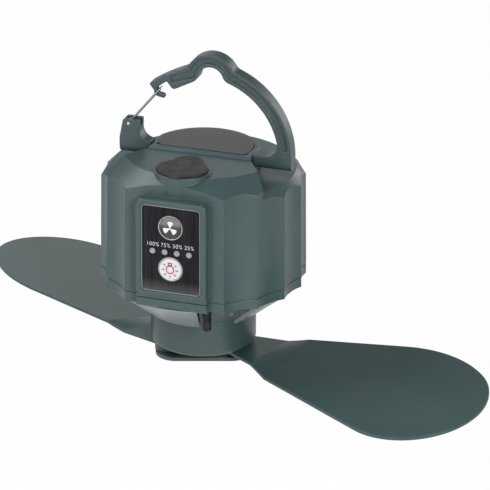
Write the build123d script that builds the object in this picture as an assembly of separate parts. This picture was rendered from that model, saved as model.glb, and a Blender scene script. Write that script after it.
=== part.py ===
from build123d import *
import math
import os

# A hanging camping fan with a ring lamp under its body and two folding blades.
# Sizes are in millimetres and degrees. They are given from the fan's own axis (X right, Y back, Z up),
# with height zero on top of the deck's island. The finished pieces are then moved so that the origin
# is the point inside the handle's crown where the fan hangs.

# Body shells
BODY_R = 54.0
BODY_DRAFT = 0.6
SCALLOPS = 15
FLAT_HALF_ANGLE = 30.0
SCALLOP_DEPTH = 1.6
WALL = 2.4
SEAM_Z = -65.8
SKIRT_HEIGHT = 5.6
FLOOR_THICK = 2.0
LIP_HEIGHT = 3.0
LIP_THICK = 1.4
LIP_CLEARANCE = 0.25
SEAM_GROOVE = 0.5
SEAM_GROOVE_DEPTH = 0.7

# Top of the body: a deck in front, an island in the middle, a lowered shelf round the sides and back
DECK_Z = -1.2
DECK_SET_IN = 12.4
DECK_SLOPE = 34.0
SHELF_Z = -10.0
SHELF_SET_IN = 5.6
WEDGE_REAR_X = 27.9
WEDGE_REAR_Y = -6.8
WEDGE_SIDE_ANGLE = 57.6
ISLAND_R = 29.8
ISLAND_BOSS = 9.0
ISLAND_EDGE = 0.9
LABEL_MARGIN = 3.2
LABEL_CORNER = 2.5
LABEL_RECESS = 0.5
LABEL_THICK = 0.8
LABEL_GAP = 0.15

# Housing screws
SCREW_SET_IN = 9.0
SCREW_ANGLES = (45.0, 135.0, 225.0, 315.0)
PILLAR_R = 3.5
SCREW_R = 1.4
SCREW_HEAD_R = 2.6
SCREW_HEAD_H = 1.6
SCREW_LENGTH = 9.0
HOLE_GAP = 0.1

# Control panel
PANEL_WIDTH = 32.2
PANEL_HEIGHT = 47.6
PANEL_Z = -37.6
PANEL_SET_IN = 2.2
PANEL_THICK = 1.5
PANEL_CORNER = 2.2
PANEL_GAP = 0.2
BEZEL_RIM = 3.0
BEZEL_CORNER = 3.2
BEZEL_PROUD = 0.5
BEZEL_EDGE = 0.9
CHIN_SET_BACK = 0.5
APRON_EDGE = 2.0
WEB_THICK = 2.2
WINDOW_MARGIN = 2.2
BUTTON_R = 5.9
BUTTON_PROUD = 1.2
BUTTON_TRAVEL = 0.8
BUTTON_GAP = 0.2
BUTTON_FLANGE = 0.9
BUTTON_FLANGE_H = 1.0
BUTTON_STEM_R = 2.0
BUTTON_EDGE = 0.5
FAN_BUTTON_Z = -25.1
LIGHT_BUTTON_Z = -47.9
RING_WIDTH = 0.7
RING_PROUD = 0.5
INDICATOR_R = 1.5
INDICATOR_COUNT = 4
INDICATOR_PITCH = 6.6
INDICATOR_Z = -39.0
INDICATOR_PROUD = 0.2
BOARD_THICK = 1.6
PANEL_BOARD_DEPTH = 9.8
SWITCH_SIDE = 6.0
SWITCH_HEIGHT = 1.8
PLUNGER_R = 1.6
PLUNGER_PROUD = 0.6
STEM_GAP = 0.1

# Charging port
PORT_SET_IN = 20.4
COVER_WIDTH = 26.7
COVER_DEPTH = 23.6
COVER_THICK = 2.2
LOBE_R = 8.0
LOBE_REACH = 9.7
TAB_WIDTH = 6.0
TAB_REACH = 2.4
FLAP_REACH = 7.0
FLAP_GAP = 0.25
BOSS_MARGIN = 1.5
BOSS_TOP_Z = 0.0
COVER_GAP = 0.3
ANCHOR_STEM_R = 1.6
ANCHOR_STEM_H = 4.0
PLUG_WIDTH = 8.6
PLUG_DEPTH = 2.8
PLUG_HEIGHT = 2.5
PORT_HOLE_WIDTH = 12.0
PORT_HOLE_DEPTH = 8.0
SOCKET_WIDTH = 9.2
SOCKET_DEPTH = 3.6
SOCKET_WALL = 0.4
SOCKET_HEIGHT = 7.0
SOCKET_PLUG_GAP = 0.6
CHARGE_BOARD_WIDTH = 24.0
CHARGE_BOARD_DEPTH = 12.0
CHARGE_POST_R = 2.2

# Battery and main board
CELL_R = 9.2
CELL_LENGTH = 65.0
CELL_GAP = 0.3
CELL_TOP_Z = -15.0
TRAY_WALL = 1.8
TRAY_END_GAP = 0.5
TRAY_CORNER = 4.0
MAIN_BOARD_SET_IN = 18.0
MAIN_BOARD_Z = -60.0
POST_R = 2.5
POST_SET_IN = 6.0
POST_ANGLES = (60.0, 180.0, 300.0)

# Ring lamp and its sensors
LENS_SET_IN = 3.0
LENS_POD_GAP = 1.8
LENS_BOTTOM_Z = -89.3
LENS_WALL = 1.8
LENS_RIM = 0.8
GAP_START = 15.0
GAP_END = 53.0
INSERT_SET_IN = 2.4
INSERT_THICK = 2.0
INSERT_GAP = 0.4
SENSOR_R = 2.5
SENSOR_SET_IN = 3.4
SENSOR_HOLE_GAP = 0.35
RECEIVER_ANGLE = 21.0
RECEIVER_TIP_Z = -84.8
SENSOR_LAMP_ANGLE = 37.6
SENSOR_LAMP_TIP_Z = -76.8
LAMP_BOARD_THICK = 1.2
LAMP_BOARD_GAP = 2.4
LAMP_BOARD_SET_IN = 9.0
CHIP_COUNT = 24
CHIP_SIDE = 3.0
CHIP_HEIGHT = 0.8

# Motor pod and motor
POD_SHARE = 0.5148
POD_BOTTOM_Z = -107.6
POD_WALL = 2.2
POD_FLOOR = 2.5
POD_EDGE = 2.6
POD_SCREW_SET_IN = 4.6
POD_BOSS_R = 3.2
POD_BOSS_HEIGHT = 10.0
POD_SCREW_COUNT = 3
FLOOR_HOLE_R = 15.0
MOTOR_GAP = 8.1
MOTOR_LENGTH = 24.0
MOTOR_EDGE = 1.2
MOTOR_NOSE_R = 4.5
MOTOR_NOSE_GAP = 0.2
MOTOR_SCREW_RADIUS = 9.0
MOTOR_SCREW_DEPTH = 4.0
SHAFT_R = 2.0
SHAFT_RUNNING = 0.04
SHAFT_IN_MOTOR = 14.0

# Rotor: carrier plate, blade pins and blades
CARRIER_REST = 19.0
CARRIER_END = 5.9
CARRIER_HALF_WIDTH = 12.5
CARRIER_CORNER = 11.0
CARRIER_BOTTOM_Z = -116.8
CARRIER_THICK = 2.3
CARRIER_EDGE = 0.9
CARRIER_BOSS_GAP = 0.4
RUNNING_GAP = 0.6
HINGE_RADIUS = 19.6
PIN_R = 3.0
PIN_RUNNING = 0.05
PIN_HEAD_R = 4.6
PIN_HEAD_H = 0.8
PIN_HEAD_GAP = 0.4
EYE_R = 6.2
EYE_END_GAP = 0.15
HUB_SCREW_R = 1.2
HUB_SCREW_HEAD_R = 3.4
HUB_SCREW_HEAD_H = 1.4
HUB_SCREW_LENGTH = 5.0
BLADE_THICK = 1.6
BLADE_Z = -109.9
BLADE_HALF_ANGLE = 16.65
BLADE_ROOT_HALF_WIDTH = 10.8
BLADE_OFFSET = 4.6
BLADE_LENGTH = 164.0
BLADE_FAR_TIP_R = 62.0
BLADE_NEAR_TIP_R = 39.0
BLADE_PITCH_START = 22.0
BLADE_PITCH_END = 33.0
BLADE_PITCH = 8.7
BLADE_RISE = 1.9
RIGHT_FOLD = -36.2
LEFT_FOLD = -56.4

# Handle, in its own upright plane (X across, Z up); the branch's points are given from the crown's middle
HANDLE_THICK = 7.4
PIVOT_Z = -3.2
FOOT_GAP = 0.35
PIVOT_PIN_R = 1.6
PIVOT_RUNNING = 0.05
PIVOT_IN_BODY = 7.0
PIVOT_IN_FOOT = 9.0
ARCH_X = 1.5
ARCH_INNER_R = 40.5
HANDLE_BAND = 7.0
CROWN_X = 5.0
CROWN_DROP = 1.5
CROWN_INNER_R = 7.0
CROWN_BAND = 6.8
CROWN_BLEND = 5.0
BRANCH_TOP = ((-11.0, 6.0), (-22.5, 0.9), (-33.6, -5.7))
NOSE_END = (-31.2, -8.8)
NOTCH = (-23.9, -3.4)
TOOTH = ((-21.2, -6.9), (-19.7, -7.3))
BRANCH_BOTTOM = ((-10.4, -2.5), (-8.1, -1.3))
NOSE_ROUND = 0.8
RIGHT_FOOT_BLEND = 8.0
GATE_FOOT_TOP_Z = 11.7
GATE_FOOT_LEFT_X = -43.2
GATE_FOOT_RIGHT_X = -34.2
GATE_FOOT_OUTER_X = -45.2
GATE_FOOT_BULGE_Z = 1.5
GATE_FOOT_SCOOP = ((-34.4, 7.0), (-32.9, 3.0))
CHANNEL_RIM = 1.9
CHANNEL_DEPTH = 1.3
CHANNEL_START = ((-21.4, -3.8), (-21.9, -0.6))
CHANNEL_JOIN = ((-11.3, 3.6), (-9.2, 0.1))
CHANNEL_END_Z = 6.0

# Gate of the handle
GATE_PIN_X = -40.3
GATE_PIN_Z = 9.6
GATE_PIN_R = 0.8
GATE_PIN_RUNNING = 0.05
GATE_WIRE_R = 0.6
GATE_FOOT_HALF = 0.9
GATE_NOSE_HALF = 1.9
GATE_BARREL_R = 1.7
GATE_SLOT_GAP = 0.35
GATE_END = (-28.3, -8.8)
LUG_HALF_THICK = 0.7
LUG_R = 1.3
LUG_NECK = ((-31.0, -7.4), (-30.6, -11.4))
LUG_HOOK = ((-29.9, -12.1), (-27.0, -12.7))

# Sizes that follow from the ones above
BODY_BOTTOM_Z = SEAM_Z - SKIRT_HEIGHT
DECK_R = BODY_R - DECK_SET_IN
SHELF_R = BODY_R - SHELF_SET_IN
SCREW_RADIUS = BODY_R - SCREW_SET_IN
PANEL_FACE = BODY_R - PANEL_SET_IN
PANEL_BOARD_BACK = PANEL_FACE - PANEL_BOARD_DEPTH
PORT_Y = PORT_SET_IN - BODY_R
LOBE_Y = PORT_Y + LOBE_REACH
FLAP_SPLIT_Y = PORT_Y + FLAP_REACH
POD_R = POD_SHARE * BODY_R
POD_SCREW_RADIUS = POD_R - POD_SCREW_SET_IN
MOTOR_R = POD_R - POD_WALL - MOTOR_GAP
LENS_TOP_R = BODY_R - LENS_SET_IN
LENS_BOTTOM_R = POD_R + LENS_POD_GAP
MAIN_BOARD_R = BODY_R - MAIN_BOARD_SET_IN
POST_RADIUS = MAIN_BOARD_R - POST_SET_IN
LAMP_BOARD_OUTER_R = LENS_TOP_R - LAMP_BOARD_SET_IN
LAMP_BOARD_INNER_R = POD_R + LAMP_BOARD_GAP
CHIP_RADIUS = (LAMP_BOARD_INNER_R + LAMP_BOARD_OUTER_R) / 2.0
CARRIER_HALF_LENGTH = HINGE_RADIUS + CARRIER_END
BLADE_LEAN = math.cos(math.radians(BLADE_HALF_ANGLE))
BLADE_TO_AXIS = (HINGE_RADIUS - BLADE_OFFSET - BLADE_ROOT_HALF_WIDTH) * BLADE_LEAN
CARRIER_BOSS_R = BLADE_TO_AXIS - CARRIER_BOSS_GAP
CHIN_FACE = PANEL_FACE - CHIN_SET_BACK
ARCH_OUTER_R = ARCH_INNER_R + HANDLE_BAND
CROWN_Z = ARCH_INNER_R - CROWN_DROP
CROWN_OUTER_R = CROWN_INNER_R + CROWN_BAND
FLOOR_TOP_Z = BODY_BOTTOM_Z + FLOOR_THICK
SCALLOP_PITCH = (360.0 - 2.0 * FLAT_HALF_ANGLE) / SCALLOPS
CEILING_Z = SHELF_Z - WALL
PANEL_BACK = PANEL_FACE - PANEL_THICK
WEB_BACK = PANEL_BACK - WEB_THICK
BEZEL_FACE = PANEL_FACE + BEZEL_PROUD
BEZEL_WIDTH = PANEL_WIDTH + 2.0 * BEZEL_RIM
BEZEL_HEIGHT = PANEL_HEIGHT + 2.0 * BEZEL_RIM
WINDOW_WIDTH = PANEL_WIDTH - 2.0 * WINDOW_MARGIN
WINDOW_HEIGHT = PANEL_HEIGHT - 2.0 * WINDOW_MARGIN
PANEL_BOARD_FRONT = PANEL_BOARD_BACK + BOARD_THICK
PLUNGER_TIP = PANEL_BOARD_FRONT + SWITCH_HEIGHT + PLUNGER_PROUD
STEM_END = PLUNGER_TIP + BUTTON_TRAVEL + STEM_GAP
LAMP_BOARD_Z = BODY_BOTTOM_Z - LAMP_BOARD_THICK
LENS_SLOPE = (LENS_BOTTOM_Z - BODY_BOTTOM_Z + LENS_RIM) / (LENS_TOP_R - LENS_BOTTOM_R)
INSERT_END_R = LENS_BOTTOM_R - (BODY_BOTTOM_Z - LENS_BOTTOM_Z - INSERT_SET_IN) / LENS_SLOPE
SENSOR_RADIUS = INSERT_END_R - SENSOR_SET_IN
POD_FLOOR_Z = POD_BOTTOM_Z + POD_FLOOR
MOTOR_TOP_Z = POD_FLOOR_Z + MOTOR_LENGTH
CARRIER_TOP_Z = CARRIER_BOTTOM_Z + CARRIER_THICK
PIN_HEAD_TOP_Z = POD_BOTTOM_Z - PIN_HEAD_GAP
EYE_TOP_Z = PIN_HEAD_TOP_Z - PIN_HEAD_H - EYE_END_GAP
EYE_BOTTOM_Z = CARRIER_TOP_Z + EYE_END_GAP
FOOT_INNER_X = WEDGE_REAR_X + FOOT_GAP
FOOT_R = HANDLE_THICK / 2.0
HANG_X = CROWN_X
HANG_Z = CROWN_Z + CROWN_INNER_R
COVER_BOTTOM_Z = DECK_Z
COVER_TOP_Z = COVER_BOTTOM_Z + COVER_THICK
SOCKET_TOP_Z = COVER_BOTTOM_Z - PLUG_HEIGHT - SOCKET_PLUG_GAP
SOCKET_BOTTOM_Z = SOCKET_TOP_Z - SOCKET_HEIGHT


def from_front(radius, angle):
    """The plan point at a radius and an angle from the front, positive to the right."""
    turn = math.radians(angle)
    return (radius * math.sin(turn), -radius * math.cos(turn))


def spun(points, start=0.0, arc=360.0):
    """A solid turned about the fan's axis from radius and height points, from one angle over an arc."""
    outline = Plane.XZ * make_face(Polyline(*points, close=True))
    return revolve(Rot(0, 0, start - 90.0) * outline, Axis.Z, revolution_arc=arc)


def rod(radius, x, y, low, high):
    """An upright round bar."""
    return Pos(x, y, low) * Cylinder(radius, high - low, align=(Align.CENTER, Align.CENTER, Align.MIN))


def front_rod(radius, x, z, near, far):
    """A round bar along Y between two distances in front of the axis."""
    bar = Cylinder(radius, near - far, align=(Align.CENTER, Align.CENTER, Align.MIN))
    return Pos(x, -near, z) * Rot(-90, 0, 0) * bar


def front_plate(width, height, corner, z, near, far):
    """A plate with round corners, facing the front, between two distances from the axis."""
    outline = Plane.XZ * RectangleRounded(width, height, corner)
    return Pos(0, -far, z) * extrude(outline, near - far)


def fluted_face(radius):
    """The body's outline: concave scallops between ridges, and one flat across the front."""
    ridges = [FLAT_HALF_ANGLE + i * SCALLOP_PITCH for i in range(SCALLOPS + 1)]
    hollow = radius * math.cos(math.radians(SCALLOP_PITCH / 2.0)) - SCALLOP_DEPTH
    edges = []
    for first, last in zip(ridges, ridges[1:]):
        middle = from_front(hollow, (first + last) / 2.0)
        edges.append(ThreePointArc(from_front(radius, first), middle, from_front(radius, last)))
    edges.append(Line(from_front(radius, ridges[-1]), from_front(radius, ridges[0])))
    return make_face(edges)


def fluted_block(radius, low, high):
    """The fluted outline as a block that narrows upwards by the moulding draft."""
    return extrude(Pos(0, 0, low) * fluted_face(radius), high - low, taper=BODY_DRAFT)


def shelf_space(drop):
    """Everything under the lowered shelf and its 45 degree shoulder."""
    reach = BODY_R + WALL
    shoulder = SHELF_Z - drop - (reach - SHELF_R)
    top = SHELF_Z - drop
    return spun([(0, SEAM_Z), (reach, SEAM_Z), (reach, shoulder), (SHELF_R, top), (0, top)])


def deck_space(drop):
    """Everything under the deck and its sloping front shoulder."""
    reach = BODY_R + WALL
    shoulder = DECK_Z - drop - (reach - DECK_R) * math.tan(math.radians(DECK_SLOPE))
    top = DECK_Z - drop
    return spun([(0, SEAM_Z), (reach, SEAM_Z), (reach, shoulder), (DECK_R, top), (0, top)])


def wedge_face():
    """The plan of the deck: it widens from the island's chord to the front."""
    depth = BODY_R + WALL + WEDGE_REAR_Y
    side = depth / math.tan(math.radians(WEDGE_SIDE_ANGLE))
    front = WEDGE_REAR_Y - depth
    rear = (WEDGE_REAR_X, WEDGE_REAR_Y)
    far = (WEDGE_REAR_X + side, front)
    return make_face(Polyline(rear, far, (-far[0], front), (-rear[0], WEDGE_REAR_Y), close=True))


def island_face():
    """The plan of the island: a disc cut by the chord in front and by the handle's feet at the ends."""
    keep = Pos(0, WEDGE_REAR_Y + ISLAND_R) * Rectangle(2.0 * WEDGE_REAR_X, 2.0 * ISLAND_R)
    return Circle(ISLAND_R) & keep


def island_label_face(margin):
    """The plan of the label on the island, with its cut corners."""
    return offset(island_face(), -margin, kind=Kind.INTERSECTION)


def cover_face(grow):
    """The oval of the port cover."""
    return Pos(0, PORT_Y) * Ellipse(COVER_WIDTH / 2.0 + grow, COVER_DEPTH / 2.0 + grow)


def lobe_face(grow):
    """The round lobe that anchors the port cover."""
    return Pos(0, LOBE_Y) * Circle(LOBE_R + grow)


def side_of_split(behind):
    """The half plane in front of or behind the port cover's bend."""
    span = 4.0 * COVER_WIDTH
    shift = span / 2.0 + FLAP_GAP / 2.0
    y = FLAP_SPLIT_Y + shift if behind else FLAP_SPLIT_Y - shift
    return Pos(0, y) * Rectangle(span, span)


def charge_post_places():
    """Where the charge board's posts stand."""
    reach = CHARGE_BOARD_WIDTH / 2.0 - CHARGE_POST_R
    return [(-reach, PORT_Y), (reach, PORT_Y)]


def panel_post_places():
    """Where the panel board's posts stand."""
    x = (WINDOW_WIDTH - POST_R) / 2.0
    z = (WINDOW_HEIGHT - POST_R) / 2.0
    return [(-x, PANEL_Z - z), (x, PANEL_Z - z), (-x, PANEL_Z + z), (x, PANEL_Z + z)]


def indicator_places():
    """The middle of each indicator lens across the panel."""
    first = -INDICATOR_PITCH * (INDICATOR_COUNT - 1) / 2.0
    return [first + i * INDICATOR_PITCH for i in range(INDICATOR_COUNT)]


def main_post_places():
    """Where the main board's posts stand on the lower shell's floor."""
    return [from_front(POST_RADIUS, angle) for angle in POST_ANGLES]


def make_upper_shell():
    """The moulded drum with its deck, island, shelf, panel bezel, port boss, pillars and posts."""
    block = fluted_block(BODY_R, SEAM_Z, DECK_Z)
    wedge = extrude(Pos(0, 0, SEAM_Z) * wedge_face(), DECK_Z - SEAM_Z)
    island = extrude(Pos(0, 0, SHELF_Z) * island_face(), -SHELF_Z)
    island = chamfer(island.faces().sort_by(Axis.Z)[-1].edges(), ISLAND_EDGE)
    shell = (block & shelf_space(0)) + (block & deck_space(0) & wedge) + island

    boss_face = cover_face(BOSS_MARGIN)
    boss = extrude(Pos(0, 0, CEILING_Z) * boss_face, BOSS_TOP_Z - CEILING_Z)
    shell += boss & spun([(0, CEILING_Z), (PANEL_FACE, CEILING_Z), (PANEL_FACE, BOSS_TOP_Z), (0, BOSS_TOP_Z)])

    bezel = front_plate(BEZEL_WIDTH, BEZEL_HEIGHT, BEZEL_CORNER, PANEL_Z, BEZEL_FACE, PANEL_BOARD_FRONT)
    front_edges = bezel.faces().sort_by(Axis.Y)[0].edges()
    shell += fillet(front_edges, BEZEL_EDGE)

    chin_top = PANEL_Z - BEZEL_HEIGHT / 2.0 + BEZEL_CORNER
    chin = Box(BEZEL_WIDTH, CHIN_FACE - PANEL_BOARD_FRONT, chin_top - SEAM_Z,
               align=(Align.CENTER, Align.MIN, Align.MIN))
    shell += Pos(0, -CHIN_FACE, SEAM_Z) * chin

    outer = shell
    hollow_block = fluted_block(BODY_R - WALL, SEAM_Z, DECK_Z - WALL)
    hollow_wedge = extrude(Pos(0, 0, SEAM_Z) * offset(wedge_face(), -WALL, kind=Kind.INTERSECTION), -SEAM_Z)
    hollow_island = extrude(Pos(0, 0, CEILING_Z) * offset(island_face(), -WALL), -CEILING_Z - WALL)
    hollow_island &= Box(2.0 * (WEDGE_REAR_X - ISLAND_BOSS), 4.0 * ISLAND_R, -4.0 * CEILING_Z)
    shell -= hollow_block & shelf_space(WALL)
    shell -= hollow_block & deck_space(WALL) & hollow_wedge
    shell -= hollow_island

    for angle in SCREW_ANGLES:
        x, y = from_front(SCREW_RADIUS, angle)
        shell += rod(PILLAR_R, x, y, SEAM_Z, DECK_Z) & outer
        shell -= rod(SCREW_R, x, y, SEAM_Z, SEAM_Z + SCREW_LENGTH)
    for x, y in charge_post_places():
        shell += rod(CHARGE_POST_R, x, y, SOCKET_BOTTOM_Z, DECK_Z - WALL)

    # Seats in the front: the panel's recess, the button wells, the light pipes and the window behind the web
    recess = front_plate(PANEL_WIDTH + 2 * PANEL_GAP, PANEL_HEIGHT + 2 * PANEL_GAP, PANEL_CORNER, PANEL_Z,
                         BEZEL_FACE + WALL, PANEL_BACK)
    window = front_plate(WINDOW_WIDTH, WINDOW_HEIGHT, PANEL_CORNER, PANEL_Z, WEB_BACK, PANEL_BOARD_BACK - WALL)
    shell -= recess
    shell -= window
    well = BUTTON_R + BUTTON_FLANGE + BUTTON_GAP
    for z in (FAN_BUTTON_Z, LIGHT_BUTTON_Z):
        shell -= front_rod(well, 0, z, PANEL_FACE, WEB_BACK - WALL)
    for x in indicator_places():
        shell -= front_rod(INDICATOR_R + HOLE_GAP, x, INDICATOR_Z, PANEL_FACE, WEB_BACK - WALL)
    for x, z in panel_post_places():
        shell += front_rod(POST_R, x, z, WEB_BACK, PANEL_BOARD_FRONT)

    # Seats on top: the cover's bed, the anchor's hole, the charging hole, the label's recess, the pivot holes
    bed = extrude(Pos(0, 0, COVER_BOTTOM_Z) * (cover_face(COVER_GAP) + lobe_face(COVER_GAP)), COVER_THICK)
    shell -= bed
    shell -= rod(ANCHOR_STEM_R + HOLE_GAP, 0, LOBE_Y, COVER_BOTTOM_Z - ANCHOR_STEM_H - WALL, COVER_BOTTOM_Z)
    shell -= Pos(0, PORT_Y, COVER_BOTTOM_Z) * Box(PORT_HOLE_WIDTH, PORT_HOLE_DEPTH, -2.0 * CEILING_Z)
    label_bed = Pos(0, 0, -LABEL_RECESS) * island_label_face(LABEL_MARGIN - LABEL_GAP)
    shell -= extrude(label_bed, LABEL_RECESS)
    for side in (-1, 1):
        start = side * (WEDGE_REAR_X - PIVOT_IN_BODY)
        shell -= Pos(start, 0, PIVOT_Z) * Rot(0, side * 90, 0) * rod(PIVOT_PIN_R, 0, 0, 0, 2 * PIVOT_IN_BODY)
    return shell


def make_lower_shell():
    """The ring under the seam, with its floor, its lip, the front apron and the main board's posts."""
    rim = SKIRT_HEIGHT - SEAM_GROOVE
    skirt = extrude(Pos(0, 0, BODY_BOTTOM_Z) * fluted_face(BODY_R), rim)
    skirt += extrude(Pos(0, 0, BODY_BOTTOM_Z) * fluted_face(BODY_R - SEAM_GROOVE_DEPTH), SKIRT_HEIGHT)
    apron = Pos(0, -CHIN_FACE, BODY_BOTTOM_Z) * Box(BEZEL_WIDTH, CHIN_FACE - PANEL_BOARD_BACK, rim,
                                                    align=(Align.CENTER, Align.MIN, Align.MIN))
    apron = fillet(apron.edges().filter_by(Axis.X).group_by(Axis.Z)[0].sort_by(Axis.Y)[0], APRON_EDGE)
    inner = extrude(Pos(0, 0, FLOOR_TOP_Z) * fluted_face(BODY_R - WALL), SKIRT_HEIGHT)
    shell = skirt + apron - inner
    lip_face = fluted_face(BODY_R - WALL - LIP_CLEARANCE) - fluted_face(BODY_R - WALL - LIP_THICK)
    lip = extrude(Pos(0, 0, FLOOR_TOP_Z) * lip_face, SEAM_Z + LIP_HEIGHT - FLOOR_TOP_Z)
    for angle in SCREW_ANGLES:
        x, y = from_front(SCREW_RADIUS, angle)
        lip -= rod(PILLAR_R + LIP_CLEARANCE, x, y, SEAM_Z, SEAM_Z + LIP_HEIGHT)
        shell += rod(PILLAR_R, x, y, FLOOR_TOP_Z, SEAM_Z) & skirt
    shell += lip
    for x, y in main_post_places():
        shell += rod(POST_R, x, y, FLOOR_TOP_Z, MAIN_BOARD_Z)
    shell -= rod(FLOOR_HOLE_R, 0, 0, BODY_BOTTOM_Z, FLOOR_TOP_Z)
    for angle in SCREW_ANGLES:
        x, y = from_front(SCREW_RADIUS, angle)
        shell -= rod(SCREW_R + HOLE_GAP, x, y, BODY_BOTTOM_Z, SEAM_Z)
        shell -= rod(SCREW_HEAD_R + HOLE_GAP, x, y, BODY_BOTTOM_Z, BODY_BOTTOM_Z + SCREW_HEAD_H)
    for x, y in pod_screw_places():
        shell -= rod(SCREW_R + HOLE_GAP, x, y, BODY_BOTTOM_Z, FLOOR_TOP_Z)
    return shell


def pod_screw_places():
    """Where the screws go down through the floor into the pod."""
    return [from_front(POD_SCREW_RADIUS, i * 360.0 / POD_SCREW_COUNT) for i in range(POD_SCREW_COUNT)]


def motor_screw_places():
    """Where the screws go up through the pod's floor into the motor."""
    return [from_front(MOTOR_SCREW_RADIUS, angle) for angle in (0.0, 180.0)]


def make_motor_pod():
    """The round cup that holds the motor, with bosses for its screws."""
    pod = rod(POD_R, 0, 0, POD_BOTTOM_Z, BODY_BOTTOM_Z)
    pod = fillet(pod.edges().group_by(Axis.Z)[0], POD_EDGE)
    pod -= rod(POD_R - POD_WALL, 0, 0, POD_FLOOR_Z, BODY_BOTTOM_Z)
    for x, y in pod_screw_places():
        boss = rod(POD_BOSS_R, x, y, BODY_BOTTOM_Z - POD_BOSS_HEIGHT, BODY_BOTTOM_Z)
        gusset = rod(POD_R, 0, 0, BODY_BOTTOM_Z - POD_BOSS_HEIGHT, BODY_BOTTOM_Z)
        pod += boss & gusset
        pod -= rod(SCREW_R, x, y, BODY_BOTTOM_Z - SCREW_LENGTH, BODY_BOTTOM_Z)
    pod -= rod(MOTOR_NOSE_R + MOTOR_NOSE_GAP, 0, 0, POD_BOTTOM_Z, POD_FLOOR_Z)
    for x, y in motor_screw_places():
        pod -= rod(SCREW_R + HOLE_GAP, x, y, POD_BOTTOM_Z, POD_FLOOR_Z)
        pod -= rod(SCREW_HEAD_R + HOLE_GAP, x, y, POD_BOTTOM_Z, POD_BOTTOM_Z + SCREW_HEAD_H)
    return pod


def screw(x, y, seat, head_up):
    """A pan head screw whose head rests on a seat, pointing down or up from it."""
    way = 1.0 if head_up else -1.0
    head = sorted((seat, seat + way * SCREW_HEAD_H))
    shank = sorted((seat, seat - way * SCREW_LENGTH))
    return rod(SCREW_HEAD_R, x, y, *head) + rod(SCREW_R, x, y, *shank)


def make_housing_screws():
    """The screws that join the two shells, from below."""
    seat = BODY_BOTTOM_Z + SCREW_HEAD_H
    return Compound(children=[screw(*from_front(SCREW_RADIUS, angle), seat, False) for angle in SCREW_ANGLES])


def make_pod_screws():
    """The screws that hold the pod under the floor."""
    return Compound(children=[screw(x, y, FLOOR_TOP_Z, True) for x, y in pod_screw_places()])


def make_motor_screws():
    """The two screws that hold the motor on the pod's floor."""
    seat = POD_BOTTOM_Z + SCREW_HEAD_H
    screws = []
    for x, y in motor_screw_places():
        shank = rod(SCREW_R, x, y, seat, POD_FLOOR_Z + MOTOR_SCREW_DEPTH)
        screws.append(rod(SCREW_HEAD_R, x, y, POD_BOTTOM_Z, seat) + shank)
    return Compound(children=screws)


def make_motor():
    """The motor's can with its nose, a bore for the shaft and holes for its screws."""
    can = rod(MOTOR_R, 0, 0, POD_FLOOR_Z, MOTOR_TOP_Z)
    can = fillet(can.edges().sort_by(Axis.Z)[-1], MOTOR_EDGE)
    can += rod(MOTOR_NOSE_R, 0, 0, POD_BOTTOM_Z, POD_FLOOR_Z)
    can -= rod(SHAFT_R + SHAFT_RUNNING, 0, 0, POD_BOTTOM_Z, POD_FLOOR_Z + SHAFT_IN_MOTOR)
    for x, y in motor_screw_places():
        can -= rod(SCREW_R, x, y, POD_FLOOR_Z, POD_FLOOR_Z + MOTOR_SCREW_DEPTH)
    return can


def cone_radius(height, lift):
    """The radius at which the lens's outer slope, lifted by some amount, reaches a height."""
    return LENS_BOTTOM_R + (height - LENS_BOTTOM_Z - lift) / -LENS_SLOPE


def cone_plate(lift, thick, start, arc):
    """A sloping plate with a level inner rim, lifted from the lens's outer slope, up to the shell's floor."""
    upper = lift + thick / math.cos(math.atan(LENS_SLOPE))
    inner = POD_R + INSERT_GAP
    points = [(cone_radius(BODY_BOTTOM_Z, lift), BODY_BOTTOM_Z), (LENS_BOTTOM_R, LENS_BOTTOM_Z + lift),
              (inner, LENS_BOTTOM_Z + lift), (inner, LENS_BOTTOM_Z + upper),
              (LENS_BOTTOM_R, LENS_BOTTOM_Z + upper), (cone_radius(BODY_BOTTOM_Z, upper), BODY_BOTTOM_Z)]
    return spun(points, start, arc)


def make_lamp_lens():
    """The frosted cone under the body, open where the sensor insert sits."""
    cone = cone_plate(0.0, LENS_WALL, GAP_END, 360.0 - (GAP_END - GAP_START))
    return cone & rod(LENS_TOP_R, 0, 0, LENS_BOTTOM_Z, BODY_BOTTOM_Z)


def make_sensor_insert():
    """The plate that fills the lens's gap, set in from the lens, with holes for the two sensors."""
    turn = math.degrees(INSERT_GAP / LENS_BOTTOM_R)
    plate = cone_plate(INSERT_SET_IN, INSERT_THICK, GAP_START + turn, GAP_END - GAP_START - 2.0 * turn)
    for angle in (RECEIVER_ANGLE, SENSOR_LAMP_ANGLE):
        x, y = from_front(SENSOR_RADIUS, angle)
        plate -= rod(SENSOR_R + SENSOR_HOLE_GAP, x, y, LENS_BOTTOM_Z, BODY_BOTTOM_Z)
    return plate


def sensor(angle, tip):
    """A round sensor with a domed end that hangs from the shell's floor."""
    x, y = from_front(SENSOR_RADIUS, angle)
    stem = rod(SENSOR_R, x, y, tip + SENSOR_R, BODY_BOTTOM_Z)
    return stem + Pos(x, y, tip + SENSOR_R) * Sphere(SENSOR_R)


def make_lamp_board():
    """The ring board of the lamp."""
    board = rod(LAMP_BOARD_OUTER_R, 0, 0, LAMP_BOARD_Z, BODY_BOTTOM_Z)
    board -= rod(LAMP_BOARD_INNER_R, 0, 0, LAMP_BOARD_Z, BODY_BOTTOM_Z)
    return board


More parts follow.
